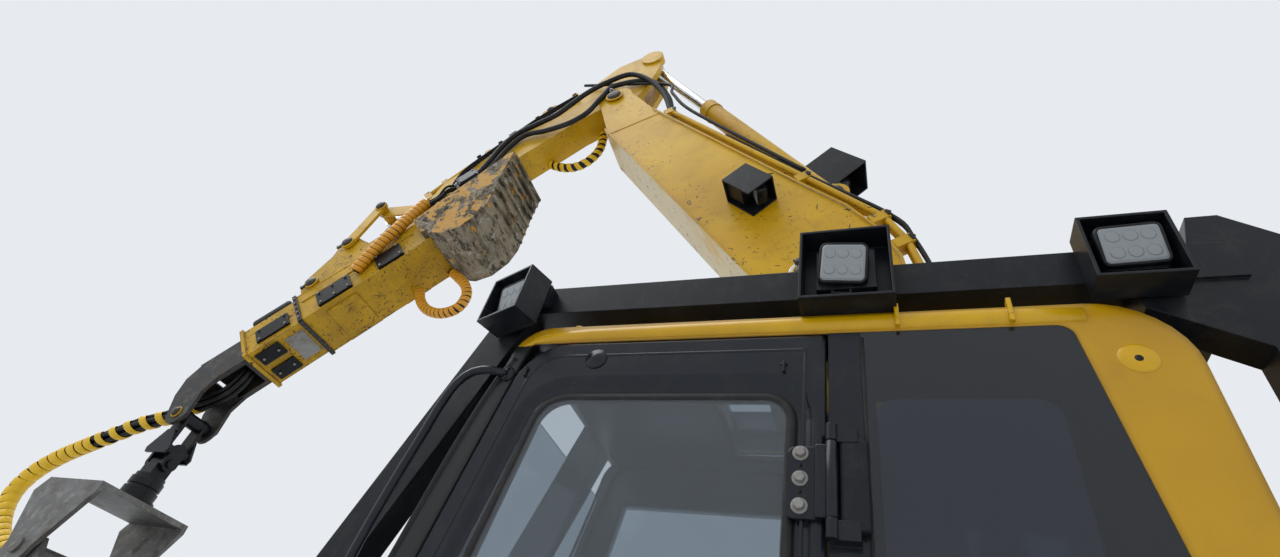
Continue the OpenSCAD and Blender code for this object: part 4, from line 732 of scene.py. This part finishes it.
def lamp(name, centre, facing, size, body, roll=0):
    """A work lamp: finned body, bezel, clear lens over bright reflector cups, and a bracket."""
    facing = Vector(facing).normalized()
    turn = facing.to_track_quat("Z", "Y").to_matrix().to_4x4() @ Matrix.Rotation(roll, 4, "Z")
    place = Matrix.Translation(centre) @ turn
    w, h, d = size
    square = [(-w / 2, -h / 2), (w / 2, -h / 2), (w / 2, h / 2), (-w / 2, h / 2)]

    def rings(*steps):
        return [[Vector((p[0], p[1], z)) for p in
                 rounded_outline(moved_out(square, grow), min(w, h) * 0.16 + grow)] for grow, z in steps]
    solid(name + "_body", rings((-0.028, -d), (-0.008, -d * 0.6), (0, -0.016), (0, -0.002), (-0.002, 0.004),
                                (-0.007, 0.004), (-0.008, -0.004)),
          "black", body, place, smooth=True)
    solid(name + "_lens", rings((-0.0082, -0.003), (-0.0082, 0.003), (-0.014, 0.006)),
          "lens", body, place)
    bm = bmesh.new()
    for x in (-w * 0.26, 0, w * 0.26):
        for y in (-h * 0.2, h * 0.2):
            add_loft(bm, [circle((x, y, z), w * r, Vector(AHEAD), Vector(LEFT), 20)
                          for r, z in ((0.105, 0.0058), (0.112, 0.0064), (0.1, 0.0065), (0.04, 0.0064))],
                     cap_last=True)
    from_bmesh(name + "_cups", bm, "cup", body, place, smooth=True)
    fins = [((x - 0.002, -h * 0.36, -d - 0.012), (x + 0.002, h * 0.36, -d * 0.7))
            for x in [w * 0.12 * q for q in range(-3, 4)]]
    boxes(name + "_fins", fins, "black", body, 0, place)
    low = -h / 2
    bracket = [((-w * 0.2, low - 0.028, -d * 0.8), (w * 0.2, low - 0.022, -0.01))]
    bracket += [((x, low - 0.026, -d * 0.5), (x + 0.006, low + 0.02, -d * 0.25))
                for x in (-w * 0.2, w * 0.2 - 0.006)]
    boxes(name + "_bracket", bracket, "black", body, 0.001, place)
    knobs = [(s * w * 0.24, low + 0.012, -d * 0.4) for s in (-1, 1)]
    bolts(name + "_knobs", knobs, (0, -1, 0), 0.01, body, place, "black", False)


LAMP_CABLES = {
    "left": [(3.34, 0.245, 0.5), (3.43, 0.225, 0.455), (3.53, 0.205, 0.5), (3.545, 0.195, 0.6),
             (3.5, 0.19, 0.7), (3.47, 0.165, 0.795)],
    "right": [(3.52, -0.3, 1.12), (3.44, -0.26, 1.16), (3.4, -0.22, 1.05), (3.42, -0.19, 0.93),
              (3.46, -0.165, 0.84)],
}


def lamp_cables():
    """Thin cables that loop from the boom's lamps to its pipes."""
    for side, points in LAMP_CABLES.items():
        hose("lamp_cable_" + side, points, 0.0065, "rubber", "main_boom", 8, 0.02, BOOM)


def lamps():
    for name, centre, facing, size, roll in (
            ("middle", (0.505, 1.44, 3.125), (-0.02, 1, -0.22), (0.14, 0.14, 0.05), -5),
            ("rear", (-0.19, 1.442, 3.112), (-0.05, 1, -0.3), (0.15, 0.118, 0.05), 4),
            ("front", (1.603, 1.452, 3.06), (0.349, 0.937, -0.2), (0.135, 0.125, 0.05), 0)):
        lamp("guard_lamp_" + name, centre, facing, size, "upper", math.radians(roll))
    for name, centre, size in (("left", (3.24, 0.29, 0.5), (0.13, 0.12, 0.06)),
                               ("right", (3.6, -0.23, 1.21), (0.17, 0.16, 0.06))):
        lamp("boom_lamp_" + name, at(BOOM, *centre), (1, 0.1, -0.35), size, "main_boom")


# Cab: door, side panel, roof rail and pillar details

CAB_Y = 1.37
DOOR = [(0.56, 1.31), (1.655, 1.31), (1.655, 1.88), (1.508, 2.914), (0.56, 2.914)]
DOOR_ROUND = [0.05, 0.06, 0.2, 0.17, 0.02]
WINDOW = [(0.65, 1.72), (1.52, 1.72), (1.503, 1.88), (1.395, 2.712), (0.65, 2.712)]
WINDOW_ROUND = [0.08, 0.08, 0.2, 0.09, 0.07]
PANEL = [(0.04, 1.62), (0.44, 1.62), (0.44, 2.165), (0.44, 2.71), (0.04, 2.71)]


def cab_door():
    """The door skin: a rolled edge, a broad frame and a stepped recess down to the glass."""
    def door(*steps):
        return outlines(DOOR, DOOR_ROUND, steps, CAB_Y, True)

    def window(*steps):
        return outlines(WINDOW, WINDOW_ROUND, steps, CAB_Y, True)
    skin = lofted("door_skin", window((0, -0.046))
                  + door((-0.004, -0.046), (0, -0.042), (0, -0.004), (-0.003, 0.002), (-0.01, 0.006))
                  + window((0.07, 0.006), (0.058, 0.003), (0.04, -0.008), (0.026, -0.01), (0.018, -0.013),
                           (0, -0.013), (0, -0.046)), "black_gloss", "door")
    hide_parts("cab_door")
    lofted("door_seal", window((0.017, -0.012), (0.012, -0.005), (-0.002, -0.004), (-0.01, -0.009),
                               (-0.012, -0.013)), "rubber", "door", smooth=True)
    lofted("door_groove", door((-0.05, 0.0065), (-0.052, 0.0085), (-0.056, 0.0085), (-0.058, 0.0065)),
           "black_gloss", "door", smooth=True)
    # round plug, slotted pins and a peg
    turned("door_plug", (1.25, CAB_Y + 0.004, 2.845), LEFT,
           [(0.036, 0), (0.036, 0.005), (0.03, 0.009), (0.024, 0.009), (0.019, 0.014), (0.01, 0.017),
            (0.002, 0.018)],
           "black_gloss", "door", 32)
    for i, x in enumerate((1.485, 0.67)):
        boxes(f"door_pin_{i}", [((x - w, CAB_Y + 0.004, z0), (x + w, CAB_Y + y, z1)) for w, y, z0, z1 in (
            (0.004, 0.014, 2.782, 2.818), (0.009, 0.011, 2.806, 2.812))], "black", "door", 0.002)
    # handle in its cup, below the window
    cup = [(1.28, 1.5), (1.46, 1.5), (1.46, 1.62), (1.28, 1.62)]
    dished = ((0.012, 0.006), (0.008, 0.01), (0, 0.008), (-0.012, -0.004))
    lofted("door_handle_cup", outlines(cup, 0.03, dished, CAB_Y), "black", "door", cap_last=True)
    grip = ((1.29, 0.012), (1.31, 0.034), (1.37, 0.04), (1.43, 0.034), (1.45, 0.012))
    hose("door_handle", [(x, CAB_Y + y, 1.56) for x, y in grip], 0.011, "black_gloss", "door")


def door_hinges():
    for i, z in enumerate((2.372, 1.5)):
        leaf = [(0.574, z + 0.004), (0.65, z + 0.004), (0.65, z + 0.186), (0.574, z + 0.186)]
        solid(f"hinge_leaf_{i}", outlines(leaf, [0.012, 0.02, 0.02, 0.012],
                                          ((0, 0.004), (0, 0.013), (-0.003, 0.016)), CAB_Y),
              "black_gloss", "door")
        bolts(f"hinge_bolts_{i}", [(0.618, CAB_Y + 0.015, z + h) for h in (0.033, 0.1, 0.165)], LEFT, 0.0135,
              "door")
        for k, h in enumerate((0.067, 0.133)):
            turned(f"hinge_hole_{i}_{k}", (0.618, CAB_Y + 0.0158, z + h), LEFT,
                   [(0.0055, 0), (0.0045, 0.0006)], "rubber", "door", 12)
        turned(f"hinge_knuckle_{i}", (0.545, CAB_Y + 0.032, z + 0.001), UP,
               [(0.012, 0), (0.014, 0.003), (0.014, 0.185), (0.012, 0.188)], "black_gloss", "door", 20)
        boxes(f"hinge_arm_{i}", [((0.548, CAB_Y + 0.006, z + 0.004), (0.584, CAB_Y + 0.03, z + 0.186))],
              "black_gloss", "door", 0.005)
        cover = [(0.462, z - 0.02), (0.53, z - 0.03), (0.53, z + 0.215), (0.462, z + 0.205)]
        solid(f"hinge_cover_{i}", outlines(cover, 0.016, ((0, -0.002), (0, 0.02), (-0.004, 0.027),
                                                          (-0.012, 0.03)), CAB_Y),
              "black", "upper")


# places and half widths of the roof's rolled edge, and the front pillar's drip lip
ROOF_RAIL = [(1.552, 2.892, 0.003), (1.53, 2.915, 0.008), (1.497, 2.935, 0.014), (1.44, 2.947, 0.02),
             (1.3, 2.951, 0.024), (0.9, 2.953, 0.026), (0.5, 2.954, 0.027), (0.1, 2.954, 0.027),
             (-0.06, 2.95, 0.024)]
PILLAR_LIP = [(1.548, 2.86), (1.59, 2.775), (1.641, 2.539), (1.69, 2.202), (1.735, 1.88), (1.742, 1.3)]
GRAB_TUBE = [(1.56, 1.368, 2.797), (1.605, 1.398, 2.795), (1.66, 1.41, 2.78), (1.705, 1.41, 2.735),
             (1.728, 1.41, 2.65), (1.742, 1.41, 2.54), (1.762, 1.41, 2.4), (1.782, 1.41, 2.2),
             (1.795, 1.41, 1.9), (1.78, 1.402, 1.56), (1.735, 1.368, 1.5)]


def cab_trim():
    # rolled edge of the roof over the door and the side panel, tapering at its front
    rail = [circle((x, CAB_Y - 0.004, z), w, Vector((0, 0.62, 0)), Vector(UP), 16) for x, z, w in ROOF_RAIL]
    solid("roof_rail", rail, "yellow_rail", "upper", smooth=True)
    for i, x in enumerate((0.372, 0.1)):
        boxes(f"roof_tab_{i}", [((x - 0.006, CAB_Y - 0.004, 2.945), (x + 0.006, CAB_Y + 0.022, 3)),
                                ((x - 0.006, CAB_Y + 0.006, 2.925), (x + 0.006, CAB_Y + 0.022, 2.95))],
              "yellow_rail", "upper", 0.002)
    ring = [(1.355 + 0.016 * math.cos(a), CAB_Y - 0.004, 2.972 + 0.016 * math.sin(a))
            for a in [math.pi * (-0.2 + 1.4 * k / 12) for k in range(13)]]
    hose("roof_ring", ring, 0.0045, "yellow_rail", "upper", 10, 0.01)
    turned("roof_knob", (1.245, CAB_Y - 0.004, 2.962), (0, 0.3, 1), [(0.01, 0), (0.01, 0.01), (0.005, 0.014)],
           "yellow_rail", "upper", 14)
    # pressed boss with its hole on the rear pillar
    turned("pillar_boss", (-0.135, CAB_Y - 0.002, 2.812), LEFT,
           [(0.044, 0.0005), (0.04, 0.003), (0.034, 0.004), (0.028, 0.0036), (0.012, 0.0036)],
           "yellow_rail", "upper", 32)
    turned("pillar_hole", (-0.135, CAB_Y + 0.0008, 2.812), LEFT, [(0.0095, 0), (0.0085, 0.0014)],
           "rubber", "upper", 20)
    # inner pane behind the side window, in the trim's opening
    solid("side_pane", outlines(PANEL, 0.05, ((-0.004, -0.02), (-0.001, -0.017), (-0.001, -0.012),
                                              (-0.004, -0.0105)), CAB_Y),
          "pane", "upper")
    # seal between the door and the panel
    boxes("panel_seal", [((0.4605, CAB_Y - 0.012, 1.42), (0.4685, CAB_Y + 0.001, 2.902))], "rubber",
          "upper", 0.002)
    hose("pillar_lip", [(x, CAB_Y - 0.006, z) for x, z in PILLAR_LIP], 0.012, "rubber", "upper", 10)
    # grab tube ahead of the door
    hose("grab_tube", GRAB_TUBE, 0.014, "black_gloss", "upper", 14)
    turned("grab_flange", (1.556, 1.368, 2.797), LEFT, [(0.026, 0), (0.026, 0.006), (0.02, 0.009)], "black",
           "upper", 20)
    bolts("grab_bolts", [(1.556, 1.375, 2.797 + d) for d in (-0.018, 0.018)], LEFT, 0.006, "upper",
          finish="black")


# Operator's seat

SEAT = Matrix.Translation((0, 0.895, 1.33))


def cushion(name, low, high, lean, crown):
    """A crowned pad: a subdivided box whose faces bulge and whose sides pull in between its corners."""
    bm = bmesh.new()
    bmesh.ops.create_cube(bm, size=2)
    bmesh.ops.subdivide_edges(bm, edges=list(bm.edges), cuts=9, use_grid_fill=True)
    for v in bm.verts:
        x, y, z = v.co
        round_x, round_y, round_z = [1 - 0.1 * (a * a + b * b) ** 1.5 for a, b in ((y, z), (x, z), (x, y))]
        bulge = crown * (1 - x * x) * (1 - y * y)
        channel = 0.1 * crown * math.cos(6 * math.pi * y) * (1 - x * x)
        pull = 1 - 0.05 * (1 - z * z) * (1 - x * x)
        lift = (bulge + channel) * (1 if z > 0 else -0.3)
        v.co = Vector((x * round_x, y * round_y * pull, z * round_z + lift))
    centre = (Vector(low) + Vector(high)) / 2
    half = (Vector(high) - Vector(low)) / 2 * 0.94
    tilted = Matrix.Translation(centre) @ Matrix.Rotation(math.radians(lean), 4, "Y")
    place = SEAT @ tilted @ Matrix.Diagonal((*half, 1))
    pad = from_bmesh(name, bm, "seat", "upper", place, True)
    return pad


def seat():
    base = cushion("seat_base", (0.3, -0.25, 0.275), (0.82, 0.25, 0.385), 0, 0.22)
    cushion("seat_back", (-0.1, -0.24, 0.66), (0.56, 0.24, 0.77), -83, 0.25)
    cushion("head_rest", (0.03, -0.13, 1.09), (0.27, 0.13, 1.19), -83, 0.2)
    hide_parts("seat")
    bm = bmesh.new()
    for k in range(6):
        inset, low = 0.008 * (k % 2), k * 0.04
        add_box(bm, (0.36 + inset, -0.14, 0.012 + low), (0.69 - inset, 0.14, 0.05 + low), 0.012)
    from_bmesh("seat_bellows", bm, "rubber", "upper", SEAT)
    boxes("seat_pan", [((0.3, -0.22, 0.255), (0.8, 0.22, 0.275)), ((0.17, -0.05, 0.27), (0.3, 0.05, 0.3)),
                       ((0.14, -0.05, 0.27), (0.17, 0.05, 1.1))], "trim", "upper", 0.006, SEAT)


# Pins, bolts and covers along the boom and stick

def pin_end(name, point, side, radius, body, place, keeper):
    """A pin's end in its collar, with a keeper plate held by a bolt."""
    axis = (0, side, 0)
    collar = [(1.28, 0), (1.28, 0.006), (1.2, 0.01), (1.02, 0.01), (1, 0.004)]
    domed = [(0.97, 0.002), (0.97, 0.012), (0.9, 0.02), (0.6, 0.027), (0.2, 0.03)]
    turned(name + "_collar", point, axis, [(radius * r, h) for r, h in collar], "yellow", body, 28, place)
    turned(name + "_end", point, axis, [(radius * r, h) for r, h in domed], "dark_pin", body, 28, place)
    if keeper:
        x, y, z = point
        face = y + side * 0.012
        low = (x + radius * 0.75, min(y, face), z - radius * 0.34)
        high = (x + radius * 2.1, max(y, face), z + radius * 0.34)
        boxes(name + "_keeper", [(low, high)], "black", body, 0.003, place)
        bolts(name + "_bolts", [(x + radius * 1.8, face, z)], axis, radius * 0.17, body, place)


# name, point along and above, how far out its ends are, radius, body, whether a keeper holds it
BOOM_PINS = [
    ("foot_pin", (0, 0), 0.246, 0.07, "upper", False),
    ("lift_pin", (2.35, 0.43), 0.378, 0.05, "main_boom", True),
    ("arm_foot_pin", (3.15, 1), 0.117, 0.044, "main_boom", False),
    ("tip_pin", (5.5, 0), 0.214, 0.066, "main_boom", True),
]
STICK_PINS = [
    ("curl_foot_pin", (0.42, 0.69), 0.092, 0.036, "dipper", False),
    ("crank_pin", (1.93, 0.1), 0.166, 0.036, "dipper", True),
    ("crank_top_pin", (2.3, 0.52), 0.222, 0.044, "link", False),
    ("link_end_pin", (2.69, 0.25), 0.222, 0.048, "link", True),
    ("stick_end_pin", (2.33, 0.045), 0.208, 0.048, "extension", True),
    ("front_plate_pin", (3.08, 0), 0.208, 0.046, "extension", True),
    ("hang_pin", (4.27, -0.5), 0.15, 0.034, "slider", False),
]


def pins():
    for place, rows in ((BOOM, BOOM_PINS), (STICK, STICK_PINS)):
        for name, (u, n), reach, radius, body, keeper in rows:
            for side, tag in ((-1, "_right"), (1, "_left")):
                pin_end(name + tag, (u, side * reach, n), side, radius, body, place, keeper)


BOOM_SADDLES = [(1.5, 0.745), (2.05, 0.985), (2.45, 1.075), (2.7, 1.075), (3.33, 0.872), (4.86, 0.373)]
STICK_SADDLES = [(0.15, 0.6), (0.6, 0.59), (1.05, 0.545), (1.3, 0.525)]


def clamps():
    """Bolted saddles where the pipes are held."""
    for i, (u, n) in enumerate(BOOM_SADDLES):
        boxes(f"boom_saddle_{i}", [((u - 0.024, y0, n + 0.016), (u + 0.024, y1, n + 0.036))
                                   for y0, y1 in ((0.11, 0.212), (-0.182, -0.118))],
              "black", "main_boom", 0.004, BOOM)
        bolts(f"boom_saddle_bolts_{i}", [(u, y, n + 0.036) for y in (0.118, 0.161, 0.204, -0.15)], UP, 0.009,
              "main_boom", BOOM)
    for i, (u, n) in enumerate(STICK_SADDLES):
        boxes(f"stick_saddle_{i}", [((u - 0.022, y - 0.032, n + 0.014), (u + 0.022, y + 0.032, n + 0.032))
                                    for y in (-0.112, 0.112)], "black", "dipper", 0.004, STICK)
        bolts(f"stick_saddle_bolts_{i}", [(u, y, n + 0.032) for y in (-0.112, 0.112)], UP, 0.008, "dipper",
              STICK)


def valve_block():
    """Valve box on the stick's left side, with its plates, fittings and leads."""
    boxes("valve_box", [((1.44, 0.136, 0.03), (1.64, 0.25, 0.15))], "black", "dipper", 0.008, STICK)
    boxes("valve_cover_plate", [((1.455, 0.25, 0.04), (1.625, 0.256, 0.14))], "black_gloss", "dipper",
          0.003, STICK)
    bolts("valve_bolts", [(u, 0.256, n) for u in (1.468, 1.612) for n in (0.052, 0.128)], LEFT, 0.006,
          "dipper", STICK)
    nut = [(0.016, 0), (0.019, 0.003), (0.019, 0.018), (0.014, 0.02), (0.014, 0.034)]
    for i, (y, n) in enumerate(((0.168, 0.06), (0.168, 0.12), (0.218, 0.06), (0.218, 0.12))):
        turned(f"valve_fitting_{i}", (1.64, y, n), AHEAD, nut, "bolt", "dipper", 6, STICK, False)
        out, up = y - 0.19, n - 0.09
        lead = [(1.668, y, n), (1.74, y + 0.03, n), (1.85, 0.212 + 0.3 * out, 0.085 + 0.5 * up),
                (1.98, 0.212 + 0.4 * out, 0.108 + 0.4 * up)]
        hose(f"bundle_lead_{i}", lead, 0.011, "rubber", "dipper", 10, 0.02, STICK)
    # thin leads along the stick's upper edge
    for i in range(3):
        side, up = 0.012 * i, 0.01 * i
        lead = [(0.16, 0.15 + side, 0.5), (0.6, 0.146 + side, 0.5 + up), (1.1, 0.145 + side, 0.46),
                (1.5, 0.144 + side, 0.37 + up), (1.72, 0.146 + side, 0.21)]
        hose(f"top_lead_{i}", lead, 0.008, "rubber", "dipper", 8, 0.03, STICK)


# side pads, two on the outer box and one on its front housing: along, above and out, each from and to
SIDE_PADS = [(2.79, 3.08, -0.395, -0.215, 0.1953, 0.217), (2.33, 2.56, -0.395, -0.215, 0.1953, 0.217),
             (3.33, 3.6, -0.35, -0.19, 0.1833, 0.201)]
# their bolts: how far out, the places along and those above
PAD_BOLTS = [(0.217, (2.82, 2.935, 3.05), (-0.235, -0.375)), (0.217, (2.355, 2.535), (-0.235, -0.375)),
             (0.201, (3.36, 3.57), (-0.21, -0.33))]


def box_bolts(name, places, axis, radius):
    bolts(name, places, axis, radius, "extension", STICK, washer=False)


def box_plates(name, pairs, finish, bevel):
    return boxes(name, pairs, finish, "extension", bevel, STICK)


def extension_details():
    box_bolts("pad_bolts", [(u, s * y, n) for y, along, above in PAD_BOLTS for s in (-1, 1) for u in along
                            for n in above], LEFT, 0.011)
    # long raised strips and welds along the box's side
    for s, tag in ((1, "left"), (-1, "right")):
        y0, y1 = sorted((s * 0.192, s * 0.204))
        box_plates("side_strips_" + tag, [((u0, y0, n0), (u1, y1, n1)) for u0, u1, n0, n1 in (
            (2.44, 2.76, -0.105, -0.072), (2.2, 3.2, -0.185, -0.17), (1.96, 2.3, -0.408, -0.385))],
                   "yellow_worn", 0.004)
        for k, n in enumerate((-0.062, -0.413)):
            weld = [(1.95 + 1.29 * q / 24, s * 0.194, n + 0.0012 * (q % 2)) for q in range(25)]
            hose(f"side_weld_{tag}_{k}", weld, 0.006, "yellow_worn", "extension", 8, 0.06, STICK)
    # bolted flange round the front end of the outer box
    box_plates("front_flange", [((3.228, y0, n0), (3.262, y1, n1)) for y0, y1, n0, n1 in (
        (-0.212, 0.212, -0.432, -0.415), (-0.212, 0.212, -0.062, -0.045), (0.195, 0.212, -0.432, -0.045),
        (-0.212, -0.195, -0.432, -0.045))], "steel", 0.004)
    box_bolts("flange_bolts", [(3.245, y, -0.1 - 0.07 * k) for y in (0.212, -0.212) for k in range(5)],
              LEFT, 0.01)
    box_bolts("flange_bolts_top", [(3.245, y, -0.047) for y in (-0.15, -0.05, 0.05, 0.15)], UP, 0.01)
    # wear pads, and a yellow cover plate under the outer box
    pads = []
    for u0, u1, n0, n1, y0, y1 in SIDE_PADS:
        pads += [((u0, y0, n0), (u1, y1, n1)), ((u0, -y1, n0), (u1, -y0, n1))]
    pads += [((3.47, y - 0.06, -0.423), (3.66, y + 0.06, -0.4053)) for y in (-0.09, 0.09)]
    pads = box_plates("box_pads", pads, "black_trim", 0.004)
    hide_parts("wear_pads")
    box_plates("under_cover", [((2.8, -0.15, -0.432), (3.06, 0.15, -0.4153))], "yellow_worn", 0.005)
    # pad bolts and a scratched plate under the front housing
    box_bolts("under_pad_bolts", [(u, y, -0.423) for u in (3.505, 3.625) for y in (-0.09, 0.09)],
              (0, 0, -1), 0.011)
    box_plates("under_plate", [((3.285, -0.125, -0.4085), (3.43, 0.125, -0.4045))], "bolt", 0.001)
    # rounded black pad on the front housing
    pad = [(3.29, -0.07), (3.62, -0.07), (3.62, -0.006), (3.29, -0.006)]
    solid("top_pad", outlines(pad, 0.022, ((-0.006, -0.186), (0, -0.178), (0, 0.178), (-0.006, 0.186))),
          "rubber", "extension", STICK, True)


# Light and floor

def light_and_floor():
    world = bpy.data.worlds.new("studio")
    bpy.context.scene.world = world
    world.use_nodes = True
    tree = world.node_tree
    tree.nodes.clear()
    path = tree.nodes.new("ShaderNodeLightPath")
    seen = path.outputs["Is Camera Ray"]
    for ray in ("Is Transmission Ray", "Is Glossy Ray"):
        either = tree.nodes.new("ShaderNodeMath")
        either.operation = "MAXIMUM"
        tree.links.new(seen, either.inputs[0])
        tree.links.new(path.outputs[ray], either.inputs[1])
        seen = either.outputs[0]
    mix = tree.nodes.new("ShaderNodeMixShader")
    tree.links.new(seen, mix.inputs[0])
    # the sky's light, then the backdrop that the camera sees, also through glass and mirrored
    for slot, colour, strength in ((1, (0.9, 0.95, 1, 1), 0.85), (2, (0.8, 0.83, 0.87, 1), 1)):
        sky = tree.nodes.new("ShaderNodeBackground")
        sky.inputs["Color"].default_value = colour
        sky.inputs["Strength"].default_value = strength
        tree.links.new(sky.outputs[0], mix.inputs[slot])
    tree.links.new(mix.outputs[0], tree.nodes.new("ShaderNodeOutputWorld").inputs["Surface"])

    sun = bpy.data.lights.new("soft_sun", "SUN")
    sun.energy = 1.6
    sun.angle = math.radians(50)
    towards = Vector((0.5, 0.16, 0.85))
    new_object("soft_sun", sun).rotation_euler = towards.to_track_quat("Z", "Y").to_euler()

    bm = bmesh.new()
    bmesh.ops.create_grid(bm, x_segments=1, y_segments=1, size=60)
    floor = new_mesh("floor", bm)
    n = Nodes("floor")
    n.finish(n.mix(n.noise(0.6, 5, 0.6), srgb(214, 216, 218), srgb(222, 224, 226)), 0.8)
    floor.data.materials.append(n.mat)
    bpy.context.scene.view_settings.view_transform = "Standard"


tip_hoses()
arm_hoses()
finish_nodes()
fittings()
lamps()
lamp_cables()
cab_door()
door_hinges()
cab_trim()
pins()
clamps()
valve_block()
extension_details()
seat()
light_and_floor()
